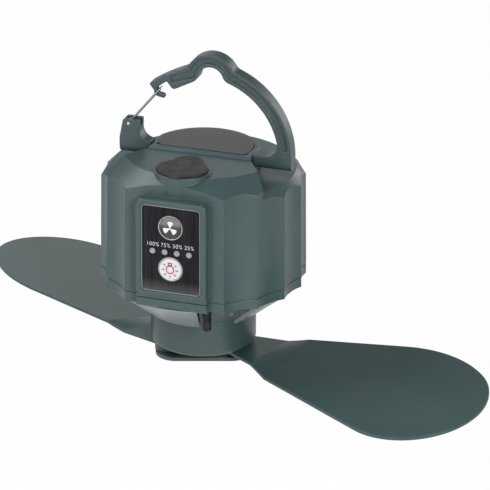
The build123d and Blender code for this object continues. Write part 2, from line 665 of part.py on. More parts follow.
def make_lamp_chips():
    """The lamp's chips in a circle, left out over the sensor insert."""
    chips = []
    for i in range(CHIP_COUNT):
        angle = i * 360.0 / CHIP_COUNT
        if not GAP_START < angle < GAP_END:
            chip = Box(CHIP_SIDE, CHIP_SIDE, CHIP_HEIGHT, align=(Align.CENTER, Align.CENTER, Align.MAX))
            x, y = from_front(CHIP_RADIUS, angle)
            chips.append(Pos(x, y, LAMP_BOARD_Z) * Rot(0, 0, angle) * chip)
    return Compound(children=chips)


def make_panel_plate():
    """The control panel's face plate with holes for the buttons and indicators."""
    plate = front_plate(PANEL_WIDTH, PANEL_HEIGHT, PANEL_CORNER, PANEL_Z, PANEL_FACE, PANEL_BACK)
    for z in (FAN_BUTTON_Z, LIGHT_BUTTON_Z):
        plate -= front_rod(BUTTON_R + BUTTON_GAP, 0, z, PANEL_FACE, PANEL_BACK)
    for x in indicator_places():
        plate -= front_rod(INDICATOR_R + HOLE_GAP, x, INDICATOR_Z, PANEL_FACE, PANEL_BACK)
    return plate


def make_button(z):
    """A push button: a cap with a soft edge, a flange behind the panel and a stem towards its switch."""
    cap = front_rod(BUTTON_R, 0, z, PANEL_FACE + BUTTON_PROUD, PANEL_BACK - HOLE_GAP)
    cap = fillet(cap.edges().sort_by(Axis.Y)[0], BUTTON_EDGE)
    back = PANEL_BACK - HOLE_GAP - BUTTON_FLANGE_H
    flange = front_rod(BUTTON_R + BUTTON_FLANGE, 0, z, PANEL_BACK - HOLE_GAP, back)
    return cap + flange + front_rod(BUTTON_STEM_R, 0, z, back, STEM_END)


def make_button_rings():
    """The thin metal ring round each button."""
    rings = []
    for z in (FAN_BUTTON_Z, LIGHT_BUTTON_Z):
        ring = front_rod(BUTTON_R + BUTTON_GAP + RING_WIDTH, 0, z, PANEL_FACE + RING_PROUD, PANEL_FACE)
        rings.append(ring - front_rod(BUTTON_R + BUTTON_GAP, 0, z, PANEL_FACE + RING_PROUD, PANEL_FACE))
    return Compound(children=rings)


def make_indicator_lenses():
    """The light pipes of the charge indicators."""
    far = PANEL_BOARD_FRONT + HOLE_GAP
    near = PANEL_FACE + INDICATOR_PROUD
    pipes = [front_rod(INDICATOR_R, x, INDICATOR_Z, near, far) for x in indicator_places()]
    return Compound(children=pipes)


def make_panel_board():
    """The circuit board behind the panel."""
    clear = 2.0 * PANEL_GAP
    return front_plate(WINDOW_WIDTH - clear, WINDOW_HEIGHT - clear, PANEL_CORNER, PANEL_Z,
                       PANEL_BOARD_FRONT, PANEL_BOARD_BACK)


def make_tact_switches():
    """The two switches that the buttons press."""
    switches = []
    for z in (FAN_BUTTON_Z, LIGHT_BUTTON_Z):
        top = PANEL_BOARD_FRONT + SWITCH_HEIGHT
        base = Pos(0, -(PANEL_BOARD_FRONT + top) / 2.0, z) * Box(SWITCH_SIDE, SWITCH_HEIGHT, SWITCH_SIDE)
        switches.append(base + front_rod(PLUNGER_R, 0, z, PLUNGER_TIP, top))
    return Compound(children=switches)


def make_top_label():
    """The bare label plate on the island."""
    face = Pos(0, 0, -LABEL_RECESS) * island_label_face(LABEL_MARGIN)
    plate = extrude(face, LABEL_THICK)
    corners = plate.edges().filter_by(Axis.Z)
    return chamfer(corners, LABEL_CORNER)


def make_port_anchor():
    """The fixed lobe of the rubber cover, with its stem in the deck."""
    face = cover_face(0) + lobe_face(0)
    lobe = extrude(Pos(0, 0, COVER_BOTTOM_Z) * (face & side_of_split(True)), COVER_THICK)
    return lobe + rod(ANCHOR_STEM_R, 0, LOBE_Y, COVER_BOTTOM_Z - ANCHOR_STEM_H, COVER_BOTTOM_Z)


def make_port_flap():
    """The oval flap of the rubber cover, with its finger tab and the plug that fills the socket's mouth."""
    face = cover_face(0) + lobe_face(0)
    tab_front = PORT_Y - COVER_DEPTH / 2.0 - TAB_REACH
    tab = Pos(0, (tab_front + PORT_Y) / 2.0) * RectangleRounded(TAB_WIDTH, PORT_Y - tab_front, TAB_REACH / 2.0)
    flap = extrude(Pos(0, 0, COVER_BOTTOM_Z) * (face & side_of_split(False)), COVER_THICK)
    tab_low = BOSS_TOP_Z + COVER_GAP
    flap += extrude(Pos(0, 0, tab_low) * tab, COVER_TOP_Z - tab_low)
    plug = Pos(0, PORT_Y, COVER_BOTTOM_Z) * Box(PLUG_WIDTH, PLUG_DEPTH, PLUG_HEIGHT,
                                                align=(Align.CENTER, Align.CENTER, Align.MAX))
    return flap + plug


def make_charging_socket():
    """The charging socket: a flat oval tube that stands on the charge board."""
    outer = SlotOverall(SOCKET_WIDTH, SOCKET_DEPTH)
    inner = SlotOverall(SOCKET_WIDTH - 2.0 * SOCKET_WALL, SOCKET_DEPTH - 2.0 * SOCKET_WALL)
    tube = extrude(Pos(0, PORT_Y, SOCKET_BOTTOM_Z) * outer, SOCKET_HEIGHT)
    return tube - extrude(Pos(0, PORT_Y, SOCKET_BOTTOM_Z + SOCKET_WALL) * inner, SOCKET_HEIGHT)


def make_charge_board():
    """The small board under the deck that carries the charging socket."""
    board = Box(CHARGE_BOARD_WIDTH, CHARGE_BOARD_DEPTH, BOARD_THICK,
                align=(Align.CENTER, Align.CENTER, Align.MAX))
    return Pos(0, PORT_Y, SOCKET_BOTTOM_Z) * board


def cell_places():
    """The middle of each battery cell, seen from the end."""
    step = CELL_R + CELL_GAP / 2.0
    middle = CELL_TOP_Z - 2.0 * CELL_R - CELL_GAP / 2.0
    return [(y, middle + z) for y in (-step, step) for z in (-step, step)]


def make_battery_cells():
    """Four cells lying side by side in two layers."""
    cells = [Pos(0, y, z) * Rot(0, 90, 0) * Cylinder(CELL_R, CELL_LENGTH) for y, z in cell_places()]
    return Compound(children=cells)


def make_battery_tray():
    """The tray under the cells: a floor, two end walls and two low sides, on legs that meet the main board."""
    low = CELL_TOP_Z - 4.0 * CELL_R - CELL_GAP - CELL_GAP
    length = CELL_LENGTH + 2.0 * (TRAY_END_GAP + TRAY_WALL)
    width = 4.0 * CELL_R + CELL_GAP + 2.0 * (CELL_GAP + TRAY_WALL)
    high = low + 2.0 * CELL_R
    base = (Align.CENTER, Align.CENTER, Align.MIN)
    tray = Pos(0, 0, low - TRAY_WALL) * Box(length, width, high - low + TRAY_WALL, align=base)
    tray = fillet(tray.edges().filter_by(Axis.Z), TRAY_CORNER)
    tray -= Pos(0, 0, low) * Box(length - 2.0 * TRAY_WALL, width - 2.0 * TRAY_WALL, high - low, align=base)
    board_top = MAIN_BOARD_Z + BOARD_THICK
    for x in (-CELL_LENGTH / 3.0, CELL_LENGTH / 3.0):
        tray += rod(POST_R, x, 0, board_top, low - TRAY_WALL)
    return tray


def make_main_board():
    """The round main board on its posts."""
    return rod(MAIN_BOARD_R, 0, 0, MAIN_BOARD_Z, MAIN_BOARD_Z + BOARD_THICK)


def make_handle_pivots():
    """The two steel pins on which the handle folds."""
    pins = []
    for side in (-1, 1):
        start = side * (WEDGE_REAR_X - PIVOT_IN_BODY)
        length = PIVOT_IN_BODY + FOOT_GAP + PIVOT_IN_FOOT
        pins.append(Pos(start, 0, PIVOT_Z) * Rot(0, side * 90, 0) * rod(PIVOT_PIN_R, 0, 0, 0, length))
    return Compound(children=pins)


def across(face, thick):
    """A solid of a face drawn in the handle's plane, equally thick to both sides."""
    return Pos(0, thick / 2.0, 0) * extrude(Plane.XZ * face, thick)


def blended_rounds(arch, crown):
    """The right half of the arch's disc and the crown's disc, with the corner between them blended."""
    half = (Pos(ARCH_X, 0) * Circle(arch)) & half_plane((CROWN_X, 0.0), (CROWN_X, CROWN_Z))
    discs = across(half + Pos(CROWN_X, CROWN_Z) * Circle(crown), HANDLE_THICK)
    edges = discs.edges().filter_by(Axis.Y)
    right = [edge for edge in edges if edge.center().X > CROWN_X + CROWN_BLEND / 2.0]
    corners = [edge for edge in right if edge.center().Z > CROWN_Z / 2.0]
    return fillet(corners, CROWN_BLEND)


def arch_ring(rim, first, last):
    """The crown and the arch on its right, drawn in by a rim; the crown's left side stops at a rising line."""
    ring = blended_rounds(ARCH_OUTER_R - rim, CROWN_OUTER_R - rim)
    ring -= blended_rounds(ARCH_INNER_R + rim, CROWN_INNER_R + rim)
    reach = 2.0 * ARCH_OUTER_R
    left = Pos(CROWN_X - reach / 2.0, 0) * Rectangle(reach, 2.0 * reach)
    return ring - across(half_plane(first, last) & left, HANDLE_THICK)


def half_plane(first, last):
    """A large face on the right of the line from one point up to another."""
    reach = 3.0 * ARCH_OUTER_R
    run = math.hypot(last[0] - first[0], last[1] - first[1])
    along = ((last[0] - first[0]) / run * reach, (last[1] - first[1]) / run * reach)
    low = (first[0] - along[0], first[1] - along[1])
    high = (first[0] + along[0], first[1] + along[1])
    return make_face(Polyline(low, (low[0] + reach, low[1]), (high[0] + reach, high[1]), high, close=True))


def by_crown(*points):
    """Points of the handle's plane that are given from the crown's middle."""
    return [(CROWN_X + x, CROWN_Z + z) for x, z in points]


def branch_face():
    """The branch from the crown to the nose, with the notch and the tooth under it."""
    top = ThreePointArc(*by_crown(*BRANCH_TOP))
    under = Polyline(*by_crown(BRANCH_TOP[-1], NOSE_END, NOTCH, *TOOTH, *BRANCH_BOTTOM, BRANCH_TOP[0]))
    return make_face([top, *under.edges()])


def corner_near(solid, point):
    """The edge across the handle that lies nearest to a point of its plane."""
    edges = solid.edges().filter_by(Axis.Y)
    return min(edges, key=lambda e: math.hypot(e.center().X - point[0], e.center().Z - point[1]))


def right_foot_face():
    """The right foot: it spreads from the leg to the pivot."""
    inner = ARCH_X + ARCH_INNER_R
    top = PIVOT_Z + FOOT_R
    block = Pos((FOOT_INNER_X + inner) / 2.0, (PIVOT_Z + top) / 2.0) * Rectangle(inner - FOOT_INNER_X, FOOT_R)
    blend = min(RIGHT_FOOT_BLEND, inner - FOOT_INNER_X)
    web = Pos(inner - blend / 2.0, top + blend / 2.0) * Rectangle(blend, blend)
    scoop = Pos(inner - blend, top + blend) * Circle(blend)
    return block + (web - scoop)


def foot_barrel(solid, side, outer_x):
    """A foot with its round barrel added and the hole for its pivot pin taken out."""
    barrel = rod(FOOT_R, 0, 0, 0, outer_x - FOOT_INNER_X)
    hole = rod(PIVOT_PIN_R + PIVOT_RUNNING, 0, 0, 0, PIVOT_IN_FOOT + FOOT_GAP)
    seat = Pos(side * FOOT_INNER_X, 0, PIVOT_Z) * Rot(0, side * 90, 0)
    return solid + seat * barrel - seat * hole


def make_handle_arm():
    """The handle: right foot, arch, crown, branch with its nose and lug, and the channel in both faces."""
    level = Pos(0, PIVOT_Z + 2.0 * ARCH_OUTER_R) * Rectangle(6.0 * ARCH_OUTER_R, 4.0 * ARCH_OUTER_R)
    arm = arch_ring(0.0, *by_crown(*BRANCH_BOTTOM)) & across(level, HANDLE_THICK)
    arm += across(branch_face(), HANDLE_THICK)
    arm = fillet(corner_near(arm, (CROWN_X - CROWN_OUTER_R, CROWN_Z + CROWN_INNER_R)), CROWN_BLEND)
    arm = fillet(corner_near(arm, (CROWN_X - CROWN_INNER_R, CROWN_Z)), CROWN_BLEND)
    for point in by_crown(BRANCH_TOP[-1], NOTCH, *TOOTH):
        arm = fillet(corner_near(arm, point), NOSE_ROUND)

    start = by_crown(*CHANNEL_START)
    join = by_crown(*CHANNEL_JOIN)
    channel = half_plane(join[-1], join[0])
    channel &= Pos(0, CHANNEL_END_Z + 2.0 * ARCH_OUTER_R) * Rectangle(6.0 * ARCH_OUTER_R, 4.0 * ARCH_OUTER_R)
    groove = arch_ring(CHANNEL_RIM, start[0], join[-1]) & across(channel, HANDLE_THICK)
    groove += across(make_face(Polyline(*start, *join, close=True)), HANDLE_THICK)
    middle = (ARCH_OUTER_R + ARCH_INNER_R) / 2.0
    end_x = ARCH_X + math.sqrt(middle ** 2 - CHANNEL_END_Z ** 2)
    end_r = (ARCH_OUTER_R - ARCH_INNER_R) / 2.0 - CHANNEL_RIM
    groove += across(Pos(end_x, CHANNEL_END_Z) * Circle(end_r), HANDLE_THICK)
    for side in (-1, 1):
        arm -= Pos(0, side * (HANDLE_THICK - CHANNEL_DEPTH), 0) * groove

    arm += across(right_foot_face(), HANDLE_THICK)
    arm = foot_barrel(arm, 1, ARCH_X + ARCH_OUTER_R)
    lug = stroke(*by_crown(*LUG_NECK)) + stroke(*by_crown(*LUG_HOOK))
    return arm + across(lug, 2.0 * LUG_HALF_THICK)


def stroke(first, last):
    """A bar with round ends between two points of the handle's plane."""
    run = math.hypot(last[0] - first[0], last[1] - first[1])
    turn = math.degrees(math.atan2(last[1] - first[1], last[0] - first[0]))
    middle = ((first[0] + last[0]) / 2.0, (first[1] + last[1]) / 2.0)
    return Pos(*middle) * Rot(0, 0, turn) * SlotOverall(run + 2.0 * LUG_R, 2.0 * LUG_R)


def make_gate_foot():
    """The left foot: it turns on its own pivot pin and carries the gate in a slot."""
    top = PIVOT_Z + FOOT_R
    inner = (-FOOT_INNER_X, top)
    left_top = (GATE_FOOT_LEFT_X, GATE_FOOT_TOP_Z)
    right_top = (GATE_FOOT_RIGHT_X, GATE_FOOT_TOP_Z)
    outer = (GATE_FOOT_OUTER_X, GATE_FOOT_BULGE_Z)
    outline = [Line(right_top, GATE_FOOT_SCOOP[0]), ThreePointArc(*GATE_FOOT_SCOOP, inner)]
    base = [(-FOOT_INNER_X, PIVOT_Z), (GATE_FOOT_OUTER_X, PIVOT_Z)]
    outline += Polyline(inner, *base, outer, left_top, right_top).edges()
    foot = across(make_face(outline), HANDLE_THICK)
    for point in (left_top, right_top):
        foot = fillet(corner_near(foot, point), NOSE_ROUND)
    foot = foot_barrel(foot, -1, -GATE_FOOT_OUTER_X)
    room = GATE_BARREL_R + GATE_SLOT_GAP
    half = GATE_FOOT_HALF + GATE_WIRE_R + GATE_SLOT_GAP
    corner = (Align.MIN, Align.CENTER, Align.MIN)
    slot = Box(GATE_FOOT_RIGHT_X - GATE_PIN_X + 2.0 * room, 2.0 * half, GATE_FOOT_TOP_Z, align=corner)
    foot -= Pos(GATE_PIN_X - room, 0, GATE_PIN_Z - room) * slot
    return foot - make_gate_pin()


def gate_run():
    """How far the closed gate reaches across and up from its pin."""
    end = by_crown(GATE_END)[0]
    return end[0] - GATE_PIN_X, end[1] - GATE_PIN_Z


def make_gate_wire():
    """The gate: a barrel on its pin, two spreading wires and the bar that joins their ends under the nose."""
    across_run, up_run = gate_run()
    length = math.hypot(across_run, up_run)
    lean = math.degrees(math.atan2(across_run, up_run))
    spread = math.degrees(math.atan2(GATE_NOSE_HALF - GATE_FOOT_HALF, length))
    slant = math.hypot(GATE_NOSE_HALF - GATE_FOOT_HALF, length)
    gate = Rot(90, 0, 0) * Cylinder(GATE_BARREL_R, 2.0 * (GATE_FOOT_HALF + GATE_WIRE_R))
    for side in (-1, 1):
        wire = rod(GATE_WIRE_R, 0, 0, 0, slant) + Pos(0, 0, slant) * Sphere(GATE_WIRE_R)
        gate += Pos(0, side * GATE_FOOT_HALF, 0) * Rot(-side * spread, 0, 0) * wire
    gate += Pos(0, 0, length) * Rot(90, 0, 0) * Cylinder(GATE_WIRE_R, 2.0 * GATE_NOSE_HALF)
    gate = Pos(GATE_PIN_X, 0, GATE_PIN_Z) * Rot(0, lean, 0) * gate
    return gate - across(Pos(GATE_PIN_X, GATE_PIN_Z) * Circle(GATE_PIN_R + GATE_PIN_RUNNING), HANDLE_THICK)


def make_gate_pin():
    """The pin across the left foot that carries the gate."""
    return across(Pos(GATE_PIN_X, GATE_PIN_Z) * Circle(GATE_PIN_R), HANDLE_THICK)


def on_carrier(shape):
    """A rotor piece turned to where the carrier rests."""
    return Rot(0, 0, CARRIER_REST) * shape


def make_motor_shaft():
    """The shaft from the motor to the carrier, with a hole for the hub screw."""
    end = CARRIER_BOTTOM_Z + HUB_SCREW_HEAD_H
    shaft = rod(SHAFT_R, 0, 0, end, POD_FLOOR_Z + SHAFT_IN_MOTOR - RUNNING_GAP)
    return shaft - rod(HUB_SCREW_R, 0, 0, end, end + HUB_SCREW_LENGTH)


def make_carrier():
    """The oblong carrier plate with its boss for the shaft and holes for the blade pins."""
    face = RectangleRounded(2.0 * CARRIER_HALF_LENGTH, 2.0 * CARRIER_HALF_WIDTH, CARRIER_CORNER)
    plate = extrude(Pos(0, 0, CARRIER_BOTTOM_Z) * face, CARRIER_THICK)
    plate = fillet(plate.faces().sort_by(Axis.Z)[0].edges(), CARRIER_EDGE)
    plate += rod(CARRIER_BOSS_R, 0, 0, CARRIER_TOP_Z, POD_BOTTOM_Z - RUNNING_GAP)
    plate -= rod(SHAFT_R, 0, 0, CARRIER_BOTTOM_Z, POD_BOTTOM_Z)
    plate -= rod(HUB_SCREW_HEAD_R + HOLE_GAP, 0, 0, CARRIER_BOTTOM_Z, CARRIER_BOTTOM_Z + HUB_SCREW_HEAD_H)
    for side in (-1, 1):
        plate -= rod(PIN_R, side * HINGE_RADIUS, 0, CARRIER_BOTTOM_Z, CARRIER_TOP_Z)
    return on_carrier(plate)


def make_hub_screw():
    """The screw that holds the carrier on the shaft, from below."""
    seat = CARRIER_BOTTOM_Z + HUB_SCREW_HEAD_H
    head = rod(HUB_SCREW_HEAD_R, 0, 0, CARRIER_BOTTOM_Z, seat)
    return head + rod(HUB_SCREW_R, 0, 0, seat, seat + HUB_SCREW_LENGTH)


def make_blade_pins():
    """The two headed pins on which the blades fold."""
    pins = []
    for side in (-1, 1):
        x = side * HINGE_RADIUS
        pin = rod(PIN_R, x, 0, CARRIER_BOTTOM_Z, PIN_HEAD_TOP_Z)
        pins.append(on_carrier(pin + rod(PIN_HEAD_R, x, 0, PIN_HEAD_TOP_Z - PIN_HEAD_H, PIN_HEAD_TOP_Z)))
    return Compound(children=pins)


def blade_face():
    """The blade's plan from its hinge: two straight edges that spread, and a tip of two tangent arcs."""
    slope = math.tan(math.radians(BLADE_HALF_ANGLE))
    tilt = math.radians(BLADE_HALF_ANGLE)
    far_u = BLADE_LENGTH - BLADE_FAR_TIP_R
    far_v = BLADE_OFFSET - BLADE_ROOT_HALF_WIDTH - slope * far_u + BLADE_FAR_TIP_R / BLADE_LEAN
    # The near arc's centre lies along the near edge, where the two arcs just touch
    near_u = far_u
    for _ in range(60):
        near_v = BLADE_OFFSET + BLADE_ROOT_HALF_WIDTH + slope * near_u - BLADE_NEAR_TIP_R / BLADE_LEAN
        reach = BLADE_FAR_TIP_R - BLADE_NEAR_TIP_R
        near_u = far_u + math.sqrt(max(reach ** 2 - (near_v - far_v) ** 2, 0.0))
    toward = math.atan2(near_v - far_v, near_u - far_u)
    far_root = (0.0, BLADE_OFFSET - BLADE_ROOT_HALF_WIDTH)
    near_root = (0.0, BLADE_OFFSET + BLADE_ROOT_HALF_WIDTH)
    far_start = (far_u - BLADE_FAR_TIP_R * math.sin(tilt), far_v - BLADE_FAR_TIP_R * math.cos(tilt))
    near_end = (near_u - BLADE_NEAR_TIP_R * math.sin(tilt), near_v + BLADE_NEAR_TIP_R * math.cos(tilt))
    meet = (far_u + BLADE_FAR_TIP_R * math.cos(toward), far_v + BLADE_FAR_TIP_R * math.sin(toward))
    half_far = (toward - (math.pi / 2.0 + tilt)) / 2.0
    half_near = (toward + (math.pi / 2.0 + tilt)) / 2.0
    far_middle = (far_u + BLADE_FAR_TIP_R * math.cos(half_far), far_v + BLADE_FAR_TIP_R * math.sin(half_far))
    near_middle = (near_u + BLADE_NEAR_TIP_R * math.cos(half_near),
                   near_v + BLADE_NEAR_TIP_R * math.sin(half_near))
    root = (-BLADE_ROOT_HALF_WIDTH, BLADE_OFFSET)
    edges = [Line(far_root, far_start), ThreePointArc(far_start, far_middle, meet),
             ThreePointArc(meet, near_middle, near_end), Line(near_end, near_root),
             ThreePointArc(near_root, root, far_root)]
    return make_face(edges)


def blade_section(u, pitch):
    """The blade's sheet cut across at a distance from the hinge, turned to a pitch."""
    here = Plane(origin=(u, 0, BLADE_Z), x_dir=(0, 1, 0), z_dir=(1, 0, 0))
    return here * Rot(0, 0, pitch) * Rectangle(4.0 * BLADE_LENGTH / 3.0, BLADE_THICK)


def make_blade():
    """A blade along +X from its hinge: a flat root with its eye, then a pitched and rising paddle."""
    flat = blade_section(BLADE_PITCH_START, 0.0)
    pitched = blade_section(BLADE_PITCH_END, BLADE_PITCH)
    rise = math.radians(BLADE_RISE)
    sheet = extrude(flat, BLADE_PITCH_START + 2.0 * BLADE_ROOT_HALF_WIDTH, dir=(-1, 0, 0))
    sheet += loft([flat, pitched], ruled=True)
    sheet += extrude(pitched, BLADE_LENGTH, dir=(math.cos(rise), 0, math.sin(rise)))
    tall = BLADE_LENGTH
    outline = Pos(0, 0, BLADE_Z - tall / 2.0) * mirror(blade_face(), about=Plane.XZ)
    blade = sheet & extrude(outline, tall)
    blade += rod(EYE_R, 0, 0, EYE_BOTTOM_Z, EYE_TOP_Z)
    return blade - rod(PIN_R + PIN_RUNNING, 0, 0, EYE_BOTTOM_Z, EYE_TOP_Z)


def hung_blade(facing, fold):
    """A blade on its pin: facing is the side of the carrier, fold its turn from straight out."""
    return on_carrier(Rot(0, 0, facing) * Pos(HINGE_RADIUS, 0, 0) * Rot(0, 0, fold) * make_blade())


PIECES = {
    "upper_shell": make_upper_shell(),
    "lower_shell": make_lower_shell(),
    "motor_pod": make_motor_pod(),
    "housing_screws": make_housing_screws(),
    "pod_screws": make_pod_screws(),
    "motor": make_motor(),
    "motor_screws": make_motor_screws(),
    "lamp_lens": make_lamp_lens(),
    "sensor_insert": make_sensor_insert(),
    "remote_receiver": sensor(RECEIVER_ANGLE, RECEIVER_TIP_Z),
    "sensor_lamp": sensor(SENSOR_LAMP_ANGLE, SENSOR_LAMP_TIP_Z),
    "lamp_board": make_lamp_board(),
    "lamp_chips": make_lamp_chips(),
    "panel_plate": make_panel_plate(),
    "button_rings": make_button_rings(),
    "indicator_lenses": make_indicator_lenses(),
    "panel_board": make_panel_board(),
    "tact_switches": make_tact_switches(),
    "fan_button": make_button(FAN_BUTTON_Z),
    "light_button": make_button(LIGHT_BUTTON_Z),
    "top_label": make_top_label(),
    "port_anchor": make_port_anchor(),
    "port_flap": make_port_flap(),
    "charging_socket": make_charging_socket(),
    "charge_board": make_charge_board(),
    "battery_cells": make_battery_cells(),
    "battery_tray": make_battery_tray(),
    "main_board": make_main_board(),
    "handle_pivots": make_handle_pivots(),
    "handle_arm": make_handle_arm(),
    "gate_foot": make_gate_foot(),
    "gate_wire": make_gate_wire(),
    "gate_pin": make_gate_pin(),
    "motor_shaft": make_motor_shaft(),
    "carrier_plate": make_carrier(),
    "hub_screw": make_hub_screw(),
    "blade_pins": make_blade_pins(),
    "right_blade": hung_blade(0.0, RIGHT_FOLD),
    "left_blade": hung_blade(180.0, LEFT_FOLD),
}

os.makedirs("parts", exist_ok=True)
for name, piece in PIECES.items():
    export_step(Pos(-HANG_X, 0, -HANG_Z) * piece, f"parts/{name}.step")
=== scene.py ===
import math

import bmesh
import bpy
from bpy.props import FloatProperty, FloatVectorProperty, PointerProperty
from mathutils import Matrix, Vector


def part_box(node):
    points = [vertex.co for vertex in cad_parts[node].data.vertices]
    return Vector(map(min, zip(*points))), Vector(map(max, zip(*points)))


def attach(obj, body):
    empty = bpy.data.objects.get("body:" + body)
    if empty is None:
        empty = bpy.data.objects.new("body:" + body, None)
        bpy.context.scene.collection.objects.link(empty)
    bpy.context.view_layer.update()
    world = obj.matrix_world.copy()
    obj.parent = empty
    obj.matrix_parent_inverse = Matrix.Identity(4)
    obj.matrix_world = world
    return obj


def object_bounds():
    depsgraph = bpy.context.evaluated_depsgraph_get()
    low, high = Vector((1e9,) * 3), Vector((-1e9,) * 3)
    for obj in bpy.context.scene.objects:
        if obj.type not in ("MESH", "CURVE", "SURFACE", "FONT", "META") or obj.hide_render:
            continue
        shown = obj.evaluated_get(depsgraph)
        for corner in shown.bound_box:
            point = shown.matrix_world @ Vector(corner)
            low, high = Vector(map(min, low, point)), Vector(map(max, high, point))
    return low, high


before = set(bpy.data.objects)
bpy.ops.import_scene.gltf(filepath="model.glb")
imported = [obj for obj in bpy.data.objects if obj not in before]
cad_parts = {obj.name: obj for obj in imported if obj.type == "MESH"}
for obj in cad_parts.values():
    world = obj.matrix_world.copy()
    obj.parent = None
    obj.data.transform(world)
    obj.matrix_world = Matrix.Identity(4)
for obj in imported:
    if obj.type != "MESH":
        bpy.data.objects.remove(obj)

bl_info = {
    "name": "Hanging fan",
    "version": (1, 0, 0),
    "blender": (4, 5, 0),
    "location": "3D View > Sidebar > Fan",
    "description": "Finishes, printed marks and studio of a hanging fan with a ring lamp",
    "category": "Object",
}

CAD_BOX = [list(corner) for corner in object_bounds()]
MM = 0.001
PICTURE_PIXELS = 490
WHITE = (1.0, 1.0, 1.0)
CHARGE_STEPS = ("100%", "75%", "50%", "25%")
# Font size and thinning are shares of the digits' height, width and spacing are shares of the font's own
DIGIT_FONT = 1.42
DIGIT_WIDTH = 0.95
DIGIT_SPACING = 1.1
DIGIT_THINNING = 0.012
DIGIT_MERGE = 0.02 * MM
DIGIT_CURVE_STEPS = 4
# The edge mask rises from 0 to 1 between these two amounts of turning of a softened normal
EDGE_TURN = (0.02, 0.3)
EDGE_SAMPLES = 6
TINNED_PAD = (0.55, 0.46, 0.3)
BARE_CELL_END = (0.5, 0.5, 0.5)


def colour(name, description, value):
    """A colour that the user can change."""
    return FloatVectorProperty(name=name, description=description, default=value, subtype="COLOR",
                               size=3, min=0.0, max=1.0)


def length(name, description, value):
    """A length that the user can change."""
    return FloatProperty(name=name, description=description, default=value, unit="LENGTH",
                         subtype="DISTANCE", min=0.0, precision=5)


class FanColours(bpy.types.PropertyGroup):
    """Colours of the fan's finishes."""

    shell: colour("Shell", "Moulded plastic of the body", (0.035, 0.069, 0.072))
    handle: colour("Handle", "Moulded plastic of the handle and its left foot", (0.022, 0.048, 0.051))
    # The pod's tint is darker than the shell as painted shade from the parts above; the carrier shares it
    pod: colour("Pod", "Smoother plastic of the motor pod and the carrier", (0.026, 0.052, 0.052))
    blade: colour("Blade", "Smooth plastic of the blades", (0.031, 0.068, 0.068))
    lens: colour("Lens", "Frosted plastic of the ring lamp", (0.24, 0.275, 0.295))
    insert: colour("Insert", "Plate that carries the sensors", (0.06, 0.092, 0.094))
    panel: colour("Panel", "Dark brushed face of the control panel", (0.009, 0.008, 0.0115))
    # The bead's pale tint is a painted highlight on a polished edge
    panel_edge: colour("Panel edge", "Polished bead round the panel plate", (0.19, 0.21, 0.22))
    dark_button: colour("Fan button", "Dark glossy cap of the fan button", (0.014, 0.014, 0.016))
    # Colour of the painted reflection on the fan button's upper part
    button_reflection: colour("Fan button veil", "Hazy upper part of the fan button", (0.17, 0.155, 0.155))
    white_button: colour("Light button", "Pale cap of the light button", (0.62, 0.64, 0.68))
    ink_white: colour("White ink", "Printed marks of the panel and the fan button", (0.72, 0.74, 0.78))
    ink_red: colour("Red ink", "Printed mark of the light button", (0.4, 0.025, 0.03))
    indicator: colour("Indicator", "Light pipes of the charge indicators", (0.27, 0.27, 0.32))
    label: colour("Label", "Bare label on the island", (0.021, 0.018, 0.021))
    rubber: colour("Rubber", "Cover of the charging port", (0.015, 0.014, 0.015))
    steel: colour("Steel", "Gate wire, pins and screws", (0.62, 0.62, 0.62))
    sensor: colour("Sensor", "Dark dome of the remote receiver", (0.006, 0.005, 0.005))
    clear_lamp: colour("Sensor lamp", "Clear dome of the small lamp", (0.05, 0.055, 0.055))
    board: colour("Board", "Solder mask of the circuit boards", (0.012, 0.08, 0.03))
    lamp_board: colour("Lamp board", "White solder mask of the lamp's board", (0.7, 0.7, 0.66))
    chip: colour("Chip", "Phosphor of the lamp's chips", (0.8, 0.62, 0.16))
    cell: colour("Cell", "Sleeve of the battery cells", (0.02, 0.06, 0.2))
    inner_plastic: colour("Inner plastic", "Tray, switches and other hidden mouldings", (0.02, 0.02, 0.02))
    motor: colour("Motor", "Plated can of the motor", (0.28, 0.28, 0.29))
    floor: colour("Floor", "Pale studio floor", (0.9, 0.9, 0.9))


class FanSizes(bpy.types.PropertyGroup):
    """Sizes of the soft edges, the panel's bead, the printed marks and the studio."""

    soft_edge: length("Soft edge", "Radius that the mouldings' edges are shaded to", 0.55 * MM)
    grip_edge: length("Grip edge", "Radius that the handle's edges are shaded to", 1.0 * MM)
    rubber_edge: length("Rubber edge", "Radius that the port cover's edges are shaded to", 0.77 * MM)
    fine_edge: length("Fine edge", "Radius that small pieces' edges are shaded to", 0.2 * MM)
    ink: length("Ink", "Thickness of the printed marks", 0.05 * MM)
    digit: length("Digit", "Height of the panel's numbers", 2.2 * MM)
    digit_rise: length("Digit rise", "Height of the numbers above the indicators", 3.95 * MM)
    digit_shift: length("Digit shift", "Shift of the numbers to the right of the indicators", 0.15 * MM)
    fan_mark: length("Fan mark", "Reach of the fan mark from its middle", 3.8 * MM)
    bulb_mark: length("Bulb mark", "Reach of the bulb mark's rays from its middle", 4.5 * MM)
    # The rings' dark outer band is painted shade
    ring_shade_band: length("Ring band", "Width of the button rings' dark outer band", 0.45 * MM)
    panel_corner: length("Panel corner", "Corner radius of the panel plate", 2.2 * MM)
    panel_edge: length("Panel edge", "Width of the polished bead round the panel plate", 0.5 * MM)
    # Heights of the painted reflection on the fan button
    reflection_foot: length("Veil foot", "Height over the fan button's middle where its veil starts", 0.5 * MM)
    reflection_top: length("Veil top", "Height over the fan button's middle where its veil is full", 2.4 * MM)
    # The hazy strip is a painted reflection along the panel's lower edge
    panel_reflection_strip: length("Panel haze", "Height of the hazy strip along the panel's lower edge", 7.0 * MM)
    floor_drop: length("Floor drop", "Height of the hanging fan above the floor", 0.35)
    camera_distance: length("Camera distance", "From the camera to the fan's axis", 2.0)


